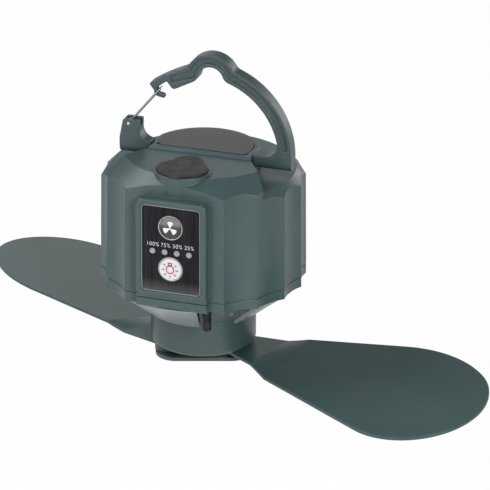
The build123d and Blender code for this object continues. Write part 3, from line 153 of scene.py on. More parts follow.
class Value:
    """A number from a node, on which Python's operators add Math nodes."""

    def __init__(self, tree, socket):
        self.tree = tree
        self.socket = socket

    def math(self, operation, first, second, clamp=False):
        """The result of one Math node on two values or plain numbers."""
        node = self.tree.nodes.new("ShaderNodeMath")
        node.operation = operation
        node.use_clamp = clamp
        for place, item in zip(node.inputs, (first, second)):
            if isinstance(item, Value):
                self.tree.links.new(item.socket, place)
            else:
                place.default_value = item
        return Value(self.tree, node.outputs[0])

    def __add__(self, other):
        return self.math("ADD", self, other)

    def __radd__(self, other):
        return self.math("ADD", other, self)

    def __sub__(self, other):
        return self.math("SUBTRACT", self, other)

    def __rsub__(self, other):
        return self.math("SUBTRACT", other, self)

    def __mul__(self, other):
        return self.math("MULTIPLY", self, other)

    def __rmul__(self, other):
        return self.math("MULTIPLY", other, self)

    def over(self, low, high):
        """How far the value is from low to high, kept between 0 and 1."""
        return self.math("MULTIPLY", self - low, 1.0 / (high - low), clamp=True)


class Nodes:
    """A node tree that is emptied and built again."""

    def __init__(self, tree):
        self.tree = tree
        self.tree.nodes.clear()

    def add(self, kind, settings=None, sockets=None):
        """A node of some type, its settings first and then the values or links of its sockets."""
        node = self.tree.nodes.new(kind)
        for name, value in (settings or {}).items():
            setattr(node, name, value)
        for name, value in (sockets or {}).items():
            self.plug(node.inputs[name], value)
        return node

    def plug(self, place, value):
        """Links a socket or a value to a place, or sets a plain number or colour there."""
        if isinstance(value, Value):
            self.tree.links.new(value.socket, place)
        elif isinstance(value, bpy.types.NodeSocket):
            self.tree.links.new(value, place)
        elif hasattr(value, "__len__") and place.type == "RGBA":
            place.default_value = (*value[:3], 1.0)
        else:
            place.default_value = value

    def seen_rays(self, glossy_share):
        """One for rays from the camera and refracted rays, and a share for mirrored rays."""
        path = self.add("ShaderNodeLightPath").outputs
        camera = Value(self.tree, path["Is Camera Ray"])
        glossy = Value(self.tree, path["Is Glossy Ray"])
        passed = Value(self.tree, path["Is Transmission Ray"])
        return (camera + glossy * glossy_share + passed).over(0.0, 1.0)


class Finish(Nodes):
    """A material under construction, with one principled shader."""

    def __init__(self, name):
        self.material = bpy.data.materials.new(name)
        self.material.use_nodes = True
        super().__init__(self.material.node_tree)
        self.shader = self.add("ShaderNodeBsdfPrincipled")
        self.output = self.add("ShaderNodeOutputMaterial", sockets={"Surface": self.shader.outputs[0]})
        self.place = self.add("ShaderNodeTexCoord").outputs["Object"]

    def set(self, **sockets):
        """Sets or links the shader's sockets, named with underscores for spaces."""
        for name, value in sockets.items():
            self.plug(self.shader.inputs[name.replace("_", " ")], value)

    def stretched(self, x, y, z, turn=0.0):
        """The object's coordinates stretched along each axis, after a turn about the height."""
        node = self.add("ShaderNodeMapping", sockets={"Vector": self.place, "Rotation": (0.0, 0.0, turn),
                                                      "Scale": (x, y, z)})
        return node.outputs[0]

    def height(self):
        """The height in the object's coordinates."""
        node = self.add("ShaderNodeSeparateXYZ", sockets={"Vector": self.place})
        return Value(self.tree, node.outputs["Z"])

    def away(self, middle):
        """The distance from a line that runs from front to back through a point."""
        flat = self.add("ShaderNodeVectorMath", {"operation": "MULTIPLY"},
                        {0: self.place, 1: (1.0, 0.0, 1.0)})
        node = self.add("ShaderNodeVectorMath", {"operation": "DISTANCE"},
                        {0: flat.outputs[0], 1: (middle[0], 0.0, middle[2])})
        return Value(self.tree, node.outputs["Value"])

    def noise(self, per_metre, detail, roughness, where=None):
        """A noise value with some number of blotches to the metre."""
        node = self.add("ShaderNodeTexNoise", sockets={"Vector": where or self.place, "Scale": per_metre,
                                                       "Detail": detail, "Roughness": roughness})
        return Value(self.tree, node.outputs["Fac"])

    def specks(self, per_metre):
        """The distance to the nearest of many scattered points."""
        node = self.add("ShaderNodeTexVoronoi", sockets={"Vector": self.place, "Scale": per_metre})
        return Value(self.tree, node.outputs["Distance"])

    def blend(self, share, first, second):
        """Two colours mixed by a share of the second."""
        # The node has sockets for each kind of data: 6 and 7 take its colours and output 2 gives the mix
        node = self.add("ShaderNodeMix", {"data_type": "RGBA"}, {0: share, 6: first, 7: second})
        return node.outputs[2]

    def soft_normal(self, radius):
        """Normals softened along the edges, as if these had a radius."""
        return self.add("ShaderNodeBevel", {"samples": EDGE_SAMPLES}, {"Radius": radius}).outputs[0]

    def edge_mask(self, soft):
        """One along the edges, where softened normals leave the true ones, and zero elsewhere."""
        true = self.add("ShaderNodeNewGeometry").outputs["Normal"]
        facing = self.add("ShaderNodeVectorMath", {"operation": "DOT_PRODUCT"}, {0: soft, 1: true})
        return (1.0 - Value(self.tree, facing.outputs["Value"])).over(*EDGE_TURN)

    def bump(self, height, depth, normal=None):
        """Normals disturbed by a height value, over a depth in metres."""
        node = self.add("ShaderNodeBump", sockets={"Height": height, "Strength": 1.0, "Distance": depth})
        if normal is not None:
            self.plug(node.inputs["Normal"], normal)
        return node.outputs[0]


def lighter(tint, amount):
    """A colour moved towards white."""
    return tuple(c + (1.0 - c) * amount for c in tint)


def darker(tint, amount):
    """A colour moved towards black."""
    return tuple(c * (1.0 - amount) for c in tint)


def moulded_plastic(name, tint, sizes, grain=2000.0, depth=0.05 * MM, speck=0.25, rough=0.33, wear_and_highlight=0.4,
                    edge=None):
    """Textured moulded plastic: spark grain, faint cloudy colour, edges lighter from rubbing and as a painted
    highlight.
    """
    finish = Finish(name)
    normal = finish.soft_normal(edge or sizes.soft_edge)
    edges = finish.edge_mask(normal)
    clouds = finish.noise(38.0, detail=4.0, roughness=0.6)
    pebble = finish.noise(grain, detail=3.0, roughness=0.55)
    scuffs = finish.noise(420.0, detail=5.0, roughness=0.7, where=finish.stretched(1.0, 1.0, 0.25))
    base = finish.blend(clouds.over(0.3, 0.7), darker(tint, 0.1), lighter(tint, 0.012))
    base = finish.blend(pebble.over(0.4, 0.65) * speck, base, lighter(tint, 0.05))
    # Lighter along the edges: rubbing wear, and a painted highlight
    base = finish.blend(edges * scuffs.over(0.35, 0.65) * wear_and_highlight, base, lighter(tint, 0.16))
    finish.set(Base_Color=base, Roughness=rough + (clouds - 0.5) * 0.14 + (pebble - 0.5) * 0.12,
               Normal=finish.bump(pebble, depth, normal))
    return finish.material


def blade_plastic(name, tint, sizes, turn):
    """Smooth satin plastic with faint flow lines along the blade and a painted highlight along its edges."""
    finish = Finish(name)
    normal = finish.soft_normal(sizes.soft_edge)
    edges = finish.edge_mask(normal)
    flow = finish.noise(60.0, detail=4.0, roughness=0.6, where=finish.stretched(0.35, 2.2, 1.0, turn))
    haze = finish.noise(16.0, detail=3.0, roughness=0.5)
    pebble = finish.noise(3200.0, detail=2.0, roughness=0.5)
    base = finish.blend(haze.over(0.3, 0.7), darker(tint, 0.07), lighter(tint, 0.012))
    base = finish.blend(flow.over(0.35, 0.75) * 0.25, base, lighter(tint, 0.03))
    # Painted highlight along the blade's edges
    base = finish.blend(edges * 0.35, base, lighter(tint, 0.1))
    finish.set(Base_Color=base, Roughness=0.36 + (flow - 0.5) * 0.1 + (haze - 0.5) * 0.1,
               Specular_IOR_Level=0.4, Normal=finish.bump(pebble, 0.012 * MM, normal))
    return finish.material


def frosted_lens(name, tint, sizes):
    """Frosted lamp plastic with a fine frosted grain, a cloudy colour and edges made paler as a painted
    highlight.
    """
    finish = Finish(name)
    normal = finish.soft_normal(sizes.soft_edge)
    edges = finish.edge_mask(normal)
    frost = finish.noise(2200.0, detail=3.0, roughness=0.6)
    clouds = finish.noise(30.0, detail=3.0, roughness=0.5)
    base = finish.blend(clouds.over(0.3, 0.7), darker(tint, 0.1), lighter(tint, 0.06))
    # Painted highlight: the lens is paler along its edges
    base = finish.blend(edges * 0.6, base, lighter(tint, 0.35))
    finish.set(Base_Color=base, Roughness=0.3 + (frost - 0.5) * 0.16 + (clouds - 0.5) * 0.1,
               Normal=finish.bump(frost, 0.02 * MM, normal), Transmission_Weight=0.18, IOR=1.49)
    return finish.material


def brushed_panel(name, tint, sizes, low):
    """Dark panel film with upright brushed lines, lightened towards its lower edge as a painted reflection,
    and a painted highlight along its edges.
    """
    finish = Finish(name)
    normal = finish.soft_normal(sizes.fine_edge)
    edges = finish.edge_mask(normal)
    lines = finish.noise(5200.0, detail=2.0, roughness=0.6, where=finish.stretched(1.0, 1.0, 0.012))
    bands = finish.noise(420.0, detail=3.0, roughness=0.6, where=finish.stretched(1.0, 1.0, 0.02))
    base = finish.blend(lines.over(0.38, 0.68), darker(tint, 0.5), lighter(tint, 0.012))
    base = finish.blend(bands.over(0.4, 0.7) * 0.5, base, lighter(tint, 0.02))
    # Painted reflection: the film is lightened over a strip along its lower edge
    haze = finish.height().over(low + sizes.panel_reflection_strip, low) * (0.4 + bands * 0.9)
    base = finish.blend(haze, base, lighter(tint, 0.07))
    # Painted highlight along the plate's edges
    base = finish.blend(edges * 0.8, base, lighter(tint, 0.25))
    finish.set(Base_Color=base, Roughness=0.3 + (lines - 0.5) * 0.25, Specular_IOR_Level=0.05,
               Normal=finish.bump(lines, 0.01 * MM, normal), Coat_Weight=0.04, Coat_Roughness=0.12)
    return finish.material


def glossy_plastic(name, tint, sizes, rough=0.16, coat=0.4, specular=0.5, reflection_veil=None):
    """Polished plastic with a faint ripple, fine rub marks, a painted reflection that lightens it between two
    heights, and a painted highlight along its edges.
    """
    finish = Finish(name)
    normal = finish.soft_normal(sizes.fine_edge)
    edges = finish.edge_mask(normal)
    ripple = finish.noise(260.0, detail=2.0, roughness=0.5)
    rubs = finish.noise(1500.0, detail=4.0, roughness=0.7, where=finish.stretched(1.0, 1.0, 0.2, 0.6))
    base = finish.blend(ripple.over(0.3, 0.7), darker(tint, 0.08), lighter(tint, 0.02))
    if reflection_veil:
        pale, low, high = reflection_veil
        # Painted reflection: lightened from one height to another
        base = finish.blend(finish.height().over(low, high) * (0.75 + ripple * 0.5), base, pale)
    # Painted highlight along the edges
    base = finish.blend(edges * 0.3, base, lighter(tint, 0.15))
    finish.set(Base_Color=base, Roughness=rough + rubs.over(0.5, 0.8) * 0.14, Specular_IOR_Level=specular,
               Normal=finish.bump(ripple, 0.006 * MM, normal), Coat_Weight=coat, Coat_Roughness=0.05)
    return finish.material


def soft_rubber(name, tint, sizes):
    """Matte rubber: open grain, dusty edges, a slight sheen."""
    finish = Finish(name)
    normal = finish.soft_normal(sizes.rubber_edge)
    edges = finish.edge_mask(normal)
    grain = finish.noise(1900.0, detail=5.0, roughness=0.65)
    dust = finish.noise(170.0, detail=4.0, roughness=0.6)
    base = finish.blend(dust.over(0.35, 0.75), darker(tint, 0.12), lighter(tint, 0.035))
    base = finish.blend(edges * dust.over(0.3, 0.6) * 0.5, base, lighter(tint, 0.08))
    finish.set(Base_Color=base, Roughness=0.62 + (grain - 0.5) * 0.24,
               Normal=finish.bump(grain, 0.07 * MM, normal), Sheen_Weight=0.04, Specular_IOR_Level=0.3)
    return finish.material


def drawn_steel(name, tint, sizes, rough=0.2, per_metre=2400.0):
    """Bright steel with fine drawing lines and a little tarnish."""
    finish = Finish(name)
    normal = finish.soft_normal(sizes.fine_edge)
    lines = finish.noise(per_metre, detail=3.0, roughness=0.6, where=finish.stretched(1.0, 1.0, 0.08))
    tarnish = finish.noise(300.0, detail=4.0, roughness=0.6)
    base = finish.blend(tarnish.over(0.4, 0.8), tint, darker(tint, 0.3))
    finish.set(Base_Color=base, Metallic=1.0, Roughness=rough + (lines - 0.5) * 0.2 + tarnish * 0.08,
               Normal=finish.bump(lines, 0.008 * MM, normal))
    return finish.material


def trim_ring(name, tint, sizes, middles, outer):
    """Bright plated rings whose outer band is darkened as painted shade."""
    finish = Finish(name)
    normal = finish.soft_normal(sizes.fine_edge)
    lines = finish.noise(2400.0, detail=3.0, roughness=0.6)
    band = 1.0
    for middle in middles:
        # Painted shade: the rings' outer band is darkened and made less metallic
        band = finish.away(middle).over(outer - sizes.ring_shade_band, outer - 0.6 * sizes.ring_shade_band) * band
    base = finish.blend(lines.over(0.3, 0.7), darker(tint, 0.15), tint)
    base = finish.blend(band, base, darker(tint, 0.82))
    finish.set(Base_Color=base, Metallic=1.0 - band * 0.6, Roughness=0.14 + lines * 0.1,
               Normal=finish.bump(lines, 0.004 * MM, normal))
    return finish.material


def satin_label(name, tint, sizes):
    """Bare satin film with a fine grain, a little worn along its edges."""
    finish = Finish(name)
    normal = finish.soft_normal(sizes.fine_edge)
    edges = finish.edge_mask(normal)
    weave = finish.noise(1500.0, detail=3.0, roughness=0.6)
    wipe = finish.noise(70.0, detail=5.0, roughness=0.65, where=finish.stretched(0.4, 1.6, 1.0, 0.3))
    base = finish.blend(wipe.over(0.3, 0.75), darker(tint, 0.15), lighter(tint, 0.03))
    base = finish.blend(weave.over(0.4, 0.65) * 0.7, base, lighter(tint, 0.05))
    base = finish.blend(edges * 0.6, base, lighter(tint, 0.12))
    finish.set(Base_Color=base, Roughness=0.34 + (wipe - 0.5) * 0.2 + (weave - 0.5) * 0.08,
               Normal=finish.bump(weave, 0.08 * MM, normal))
    return finish.material


def printed_ink(name, tint):
    """Screen printed ink with slightly uneven cover."""
    finish = Finish(name)
    cover = finish.noise(2400.0, detail=3.0, roughness=0.6)
    base = finish.blend(cover.over(0.3, 0.7), darker(tint, 0.14), tint)
    finish.set(Base_Color=base, Roughness=0.45 + (cover - 0.5) * 0.2, Normal=finish.bump(cover, 0.004 * MM))
    return finish.material


def circuit_board(name, tint, sizes):
    """Solder mask over copper traces and pads."""
    finish = Finish(name)
    normal = finish.soft_normal(sizes.fine_edge)
    traces = finish.noise(330.0, detail=0.0, roughness=0.5)
    pads = 1.0 - finish.specks(420.0).over(0.1, 0.16)
    track = traces.over(0.47, 0.49) - traces.over(0.52, 0.54)
    base = finish.blend(track * 0.7, tint, lighter(tint, 0.1))
    base = finish.blend(pads * 0.8, base, TINNED_PAD)
    finish.set(Base_Color=base, Roughness=0.38 - pads * 0.12,
               Normal=finish.bump(track + pads, 0.03 * MM, normal))
    return finish.material


def wrapped_cell(name, tint, sizes):
    """Shrink sleeve of a battery cell, pale at the ends where the sleeve stops."""
    finish = Finish(name)
    normal = finish.soft_normal(sizes.soft_edge)
    edges = finish.edge_mask(normal)
    folds = finish.noise(240.0, detail=3.0, roughness=0.6, where=finish.stretched(3.0, 1.0, 1.0))
    base = finish.blend(folds.over(0.3, 0.7), darker(tint, 0.15), lighter(tint, 0.05))
    base = finish.blend(edges * 0.7, base, BARE_CELL_END)
    finish.set(Base_Color=base, Roughness=0.25 + (folds - 0.5) * 0.2,
               Normal=finish.bump(folds, 0.03 * MM, normal))
    return finish.material


def dress(material, *nodes):
    """Gives CAD nodes one finish."""
    for node in nodes:
        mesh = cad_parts[node].data
        mesh.materials.clear()
        mesh.materials.append(material)


def add_piece(name, shape, material, body):
    """Makes a finished bmesh a piece that rides on a body."""
    mesh = bpy.data.meshes.new(name)
    shape.to_mesh(mesh)
    shape.free()
    piece = bpy.data.objects.new(name, mesh)
    bpy.context.scene.collection.objects.link(piece)
    mesh.materials.append(material)
    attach(piece, body)


def front_centre(node):
    """The middle of a node's front face."""
    low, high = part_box(node)
    return Vector(((low[0] + high[0]) / 2.0, low[1], (low[2] + high[2]) / 2.0))


def thicken(shape, thickness):
    """Turns flat faces in the upright plane to the front and gives them their thickness that way."""
    shape.normal_update()
    bmesh.ops.reverse_faces(shape, faces=[face for face in shape.faces if face.normal.y > 0.0])
    grown = bmesh.ops.extrude_face_region(shape, geom=shape.faces[:])
    moved = [item for item in grown["geom"] if isinstance(item, bmesh.types.BMVert)]
    bmesh.ops.translate(shape, verts=moved, vec=(0.0, -thickness, 0.0))


def upright_disc(shape, radius, segments):
    """A flat disc that faces the front."""
    turn = Matrix.Rotation(math.radians(90.0), 4, "X")
    made = bmesh.ops.create_circle(shape, cap_ends=True, segments=segments, radius=radius, matrix=turn)
    return made["verts"]


def upright_bar(shape, width, height, x, z):
    """A flat bar that faces the front."""
    turn = Matrix.Translation((x, 0.0, z)) @ Matrix.Rotation(math.radians(90.0), 4, "X")
    verts = bmesh.ops.create_grid(shape, x_segments=1, y_segments=1, size=0.5, matrix=turn)["verts"]
    bmesh.ops.scale(shape, verts=verts, vec=(width, 1.0, height), space=Matrix.Translation((-x, 0.0, -z)))
    return verts


def spread_round(shape, geometry, count, angle):
    """Copies of some geometry turned round the front axis."""
    bmesh.ops.spin(shape, geom=geometry, cent=(0.0, 0.0, 0.0), axis=(0.0, 1.0, 0.0), dvec=(0.0, 0.0, 0.0),
                   angle=math.radians(angle), steps=count, use_duplicate=True)


def leave_band(shape, line):
    """Cuts the middle out of a flat outline and leaves a band along its edge."""
    shape.normal_update()
    bmesh.ops.inset_region(shape, faces=shape.faces[:], thickness=line, use_even_offset=True,
                           use_boundary=True)
    middle = min(shape.faces, key=lambda face: face.calc_center_median().length)
    bmesh.ops.delete(shape, geom=[middle], context="FACES_ONLY")


def fan_mark(reach):
    """The flat outline of a fan: a small hub and blades that widen outwards."""
    blades = 3
    blade_points = 28
    blade_lean = 4.0
    hub = 0.13 * reach
    hub_points = 16
    root = 0.1 * reach
    root_width = 0.17 * reach
    flare = 0.52 * reach
    shape = bmesh.new()
    verts = upright_disc(shape, 1.0, blade_points)
    for vert in verts:
        rise = (vert.co.z + 1.0) / 2.0
        vert.co.x *= root_width + flare * rise ** 2
        vert.co.z = root + (reach - root) * rise
    bmesh.ops.rotate(shape, verts=verts, cent=(0.0, 0.0, 0.0),
                     matrix=Matrix.Rotation(math.radians(blade_lean), 3, "Y"))
    blade = shape.verts[:] + shape.edges[:] + shape.faces[:]
    spread_round(shape, blade, blades - 1, 360.0 * (blades - 1) / blades)
    upright_disc(shape, hub, hub_points)
    return shape


def bulb_mark(reach):
    """The flat outline of a lamp: a ring with a cap above it and rays round the rest."""
    line = 0.13 * reach
    bulb = 0.52 * reach
    bulb_points = 40
    cap_width = 0.5 * reach
    cap_foot = 0.54 * reach
    cap_top = 0.81 * reach
    wall_place = 0.2 * reach
    wall_height = 0.26 * reach
    ray_length = 0.3 * reach
    ray_middle = 0.85 * reach
    rays_each_side = 3
    ray_spread = 129.0
    shape = bmesh.new()
    upright_disc(shape, bulb, bulb_points)
    leave_band(shape, line)
    for z in (cap_top, cap_foot):
        upright_bar(shape, cap_width, line, 0.0, z)
    for side in (-1.0, 1.0):
        upright_bar(shape, line, wall_height, side * wall_place, (cap_foot + cap_top) / 2.0)
    verts = upright_bar(shape, line, ray_length, 0.0, -ray_middle)
    face = verts[0].link_faces[0]
    for angle in (ray_spread, -ray_spread):
        spread_round(shape, verts + face.edges[:] + [face], rays_each_side, angle)
    return shape


def edge_bead(width, height, corner, line):
    """A rounded bead along the inside of an upright outline with round corners."""
    proud = 0.5 * line
    rim_round = 0.35 * line
    rim_steps = 2
    corner_steps = 8
    shape = bmesh.new()
    corners = upright_bar(shape, width, height, 0.0, 0.0)
    bmesh.ops.bevel(shape, geom=corners, offset=corner, offset_type="OFFSET", affect="VERTICES",
                    segments=corner_steps, profile=0.5, material=-1)
    leave_band(shape, line)
    thicken(shape, proud)
    # The rims are the edges of the front that meet a side wall
    front = [edge for edge in shape.edges if all(vert.co.y < -0.8 * proud for vert in edge.verts)]
    rims = [edge for edge in front if any(abs(face.normal.y) < 0.5 for face in edge.link_faces)]
    bmesh.ops.bevel(shape, geom=rims, offset=rim_round, offset_type="OFFSET", affect="EDGES",
                    segments=rim_steps, profile=0.5, material=-1)
    return shape


def placed(shape, where, thickness):
    """A flat mark made solid and moved onto the surface that it is printed on."""
    thicken(shape, thickness)
    bmesh.ops.translate(shape, verts=shape.verts[:], vec=where)
    return shape


def number_mark(words, height):
    """Flat digits that face the front, centred on their foot."""
    letters = bpy.data.curves.new("digits", "FONT")
    letters.body = words
    letters.size = DIGIT_FONT * height
    letters.align_x = "CENTER"
    letters.resolution_u = DIGIT_CURVE_STEPS
    letters.space_character = DIGIT_SPACING
    letters.offset = -DIGIT_THINNING * height
    holder = bpy.data.objects.new("digits", letters)
    bpy.context.scene.collection.objects.link(holder)
    bpy.context.view_layer.update()
    mesh = bpy.data.meshes.new_from_object(holder)
    shape = bmesh.new()
    shape.from_mesh(mesh)
    bmesh.ops.remove_doubles(shape, verts=shape.verts[:], dist=DIGIT_MERGE)
    bmesh.ops.rotate(shape, verts=shape.verts[:], cent=(0.0, 0.0, 0.0),
                     matrix=Matrix.Rotation(math.radians(90.0), 3, "X"))
    bmesh.ops.scale(shape, verts=shape.verts[:], vec=(DIGIT_WIDTH, 1.0, 1.0))
    bpy.data.objects.remove(holder)
    bpy.data.curves.remove(letters)
    bpy.data.meshes.remove(mesh)
    return shape


def width_of(shape):
    """How wide a mark is, from left to right."""
    across = [vert.co.x for vert in shape.verts]
    return max(across) - min(across)


def chosen(context):
    """The colours and the sizes that are set on the scene."""
    return context.scene.fan_colours, context.scene.fan_sizes


class FAN_OT_shells(bpy.types.Operator):
    """Finish the body shells, the motor pod and the sensor insert"""

    bl_idname = "fan.shells"
    bl_label = "Body shells"

    def execute(self, context):
        tints, sizes = chosen(context)
        shell = moulded_plastic("shell_plastic", tints.shell, sizes)
        dress(shell, "upper_shell", "lower_shell")
        # The pod's darker tint is painted shade
        pod = moulded_plastic("pod_plastic", tints.pod, sizes, depth=0.018 * MM, rough=0.36)
        dress(pod, "motor_pod")
        insert = moulded_plastic("insert_plastic", tints.insert, sizes, depth=0.02 * MM, rough=0.36)
        dress(insert, "sensor_insert")
        return {"FINISHED"}


class FAN_OT_handle(bpy.types.Operator):
    """Finish the handle, its left foot and the wire gate"""

    bl_idname = "fan.handle"
    bl_label = "Handle and gate"

    def execute(self, context):
        tints, sizes = chosen(context)
        grip = moulded_plastic("handle_plastic", tints.handle, sizes, grain=1400.0, depth=0.12 * MM,
                               speck=0.6, rough=0.36, wear_and_highlight=0.56, edge=sizes.grip_edge)
        dress(grip, "handle_arm", "gate_foot")
        steel = drawn_steel("gate_steel", tints.steel, sizes, rough=0.16, per_metre=9000.0)
        dress(steel, "gate_wire", "gate_pin", "handle_pivots")
        return {"FINISHED"}


class FAN_OT_blades(bpy.types.Operator):
    """Finish the blades and the carrier that they fold on"""

    bl_idname = "fan.blades"
    bl_label = "Blades and carrier"

    def execute(self, context):
        tints, sizes = chosen(context)
        for node, side in (("right_blade", -1.0), ("left_blade", 1.0)):
            low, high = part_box(node)
            turn = side * math.atan2(high[1] - low[1], high[0] - low[0])
            dress(blade_plastic(f"{node}_plastic", tints.blade, sizes, turn), node)
        # The carrier takes the pod's tint, which is darkened as painted shade
        dress(moulded_plastic("carrier_plastic", tints.pod, sizes, rough=0.36, wear_and_highlight=0.64), "carrier_plate")
        dress(drawn_steel("rotor_steel", tints.steel, sizes), "motor_shaft", "hub_screw", "blade_pins")
        return {"FINISHED"}


class FAN_OT_lamp(bpy.types.Operator):
    """Finish the ring lamp and its two sensors"""

    bl_idname = "fan.lamp"
    bl_label = "Ring lamp"

    def execute(self, context):
        tints, sizes = chosen(context)
        dress(frosted_lens("lens_plastic", tints.lens, sizes), "lamp_lens")
        dome = glossy_plastic("receiver_dome", tints.sensor, sizes, rough=0.07, coat=0.0, specular=0.2)
        dress(dome, "remote_receiver")
        dress(glossy_plastic("sensor_lamp_dome", tints.clear_lamp, sizes, rough=0.2, coat=0.1), "sensor_lamp")
        dress(circuit_board("lamp_board_mask", tints.lamp_board, sizes), "lamp_board")
        dress(glossy_plastic("chip_phosphor", tints.chip, sizes, rough=0.3), "lamp_chips")
        return {"FINISHED"}


class FAN_OT_panel(bpy.types.Operator):
    """Finish the control panel, edge it with a bead and print its numbers"""

    bl_idname = "fan.panel"
    bl_label = "Control panel"

    def bead(self, tints, sizes, low, high):
        """A polished bead along the edge of the plate, which lies between two corners."""
        shape = edge_bead(high[0] - low[0], high[2] - low[2], sizes.panel_corner, sizes.panel_edge)
        bmesh.ops.translate(shape, verts=shape.verts[:], vec=front_centre("panel_plate"))
        # Pale tint: the bead's colour is a painted highlight
        gloss = glossy_plastic("panel_edge_gloss", tints.panel_edge, sizes, rough=0.12, coat=0.6)
        add_piece("panel_edge", shape, gloss, "housing")

    def numbers(self, tints, sizes, front):
        """A row of numbers over the indicators, with equal gaps between them."""
        ink = printed_ink("panel_ink", tints.ink_white)
        low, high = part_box("indicator_lenses")
        radius = (high[2] - low[2]) / 2.0
        foot = low[2] + radius + sizes.digit_rise - sizes.digit / 2.0
        marks = [number_mark(words, sizes.digit) for words in CHARGE_STEPS]
        widths = [width_of(mark) for mark in marks]
        row = high[0] - low[0] - 2.0 * radius + (widths[0] + widths[-1]) / 2.0
        gap = (row - sum(widths)) / (len(marks) - 1)
        left = low[0] + radius + sizes.digit_shift - widths[0] / 2.0
        for words, mark, width in zip(CHARGE_STEPS, marks, widths):
            where = Vector((left + width / 2.0, front, foot))
            add_piece(f"number_{words[:-1]}", placed(mark, where, sizes.ink), ink, "housing")
            left += width + gap

    def execute(self, context):
        tints, sizes = chosen(context)
        plate_low, plate_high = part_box("panel_plate")
        dress(brushed_panel("panel_film", tints.panel, sizes, plate_low[2]), "panel_plate")
        low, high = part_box("button_rings")
        middles = (front_centre("fan_button"), front_centre("light_button"))
        dress(trim_ring("ring_chrome", tints.steel, sizes, middles, (high[0] - low[0]) / 2.0), "button_rings")
        pipes = glossy_plastic("indicator_plastic", tints.indicator, sizes, rough=0.3, coat=0.2)
        dress(pipes, "indicator_lenses")
        self.bead(tints, sizes, plate_low, plate_high)
        self.numbers(tints, sizes, plate_low[1])
        return {"FINISHED"}


class FAN_OT_buttons(bpy.types.Operator):
    """Finish the two push buttons and print their marks"""

    bl_idname = "fan.buttons"
    bl_label = "Push buttons"

    def execute(self, context):
        tints, sizes = chosen(context)
        middle = front_centre("fan_button")[2]
        # The fan button is lightened over its upper part as a painted reflection
        reflection_veil = (tints.button_reflection, middle + sizes.reflection_foot, middle + sizes.reflection_top)
        cap = glossy_plastic("fan_button_cap", tints.dark_button, sizes, rough=0.14, coat=0.2, reflection_veil=reflection_veil)
        dress(cap, "fan_button")
        cap = glossy_plastic("light_button_cap", tints.white_button, sizes, rough=0.25, coat=0.3)
        dress(cap, "light_button")
        white = printed_ink("button_ink_white", tints.ink_white)
        red = printed_ink("button_ink_red", tints.ink_red)
        mark = placed(fan_mark(sizes.fan_mark), front_centre("fan_button"), sizes.ink)
        add_piece("fan_mark", mark, white, "fan_button")
        mark = placed(bulb_mark(sizes.bulb_mark), front_centre("light_button"), sizes.ink)
        add_piece("bulb_mark", mark, red, "light_button")
        return {"FINISHED"}


class FAN_OT_port(bpy.types.Operator):
    """Finish the rubber cover, the charging socket and the bare label"""

    bl_idname = "fan.port"
    bl_label = "Charging port and label"

    def execute(self, context):
        tints, sizes = chosen(context)
        dress(soft_rubber("cover_rubber", tints.rubber, sizes), "port_flap", "port_anchor")
        dress(drawn_steel("socket_steel", tints.steel, sizes, rough=0.3), "charging_socket")
        dress(satin_label("label_film", tints.label, sizes), "top_label")
        return {"FINISHED"}


class FAN_OT_inside(bpy.types.Operator):
    """Finish the hidden pieces: boards, cells, motor and screws"""

    bl_idname = "fan.inside"
    bl_label = "Hidden pieces"

    def execute(self, context):
        tints, sizes = chosen(context)
        dress(circuit_board("board_mask", tints.board, sizes), "main_board", "charge_board", "panel_board")
        dress(wrapped_cell("cell_sleeve", tints.cell, sizes), "battery_cells")
        hidden = moulded_plastic("inner_plastic", tints.inner_plastic, sizes, rough=0.5, edge=sizes.fine_edge)
        dress(hidden, "battery_tray", "tact_switches")
        dress(drawn_steel("motor_can", tints.motor, sizes, rough=0.34), "motor")
        screws = drawn_steel("screw_steel", tints.steel, sizes, rough=0.3)
        dress(screws, "housing_screws", "pod_screws", "motor_screws")
        return {"FINISHED"}


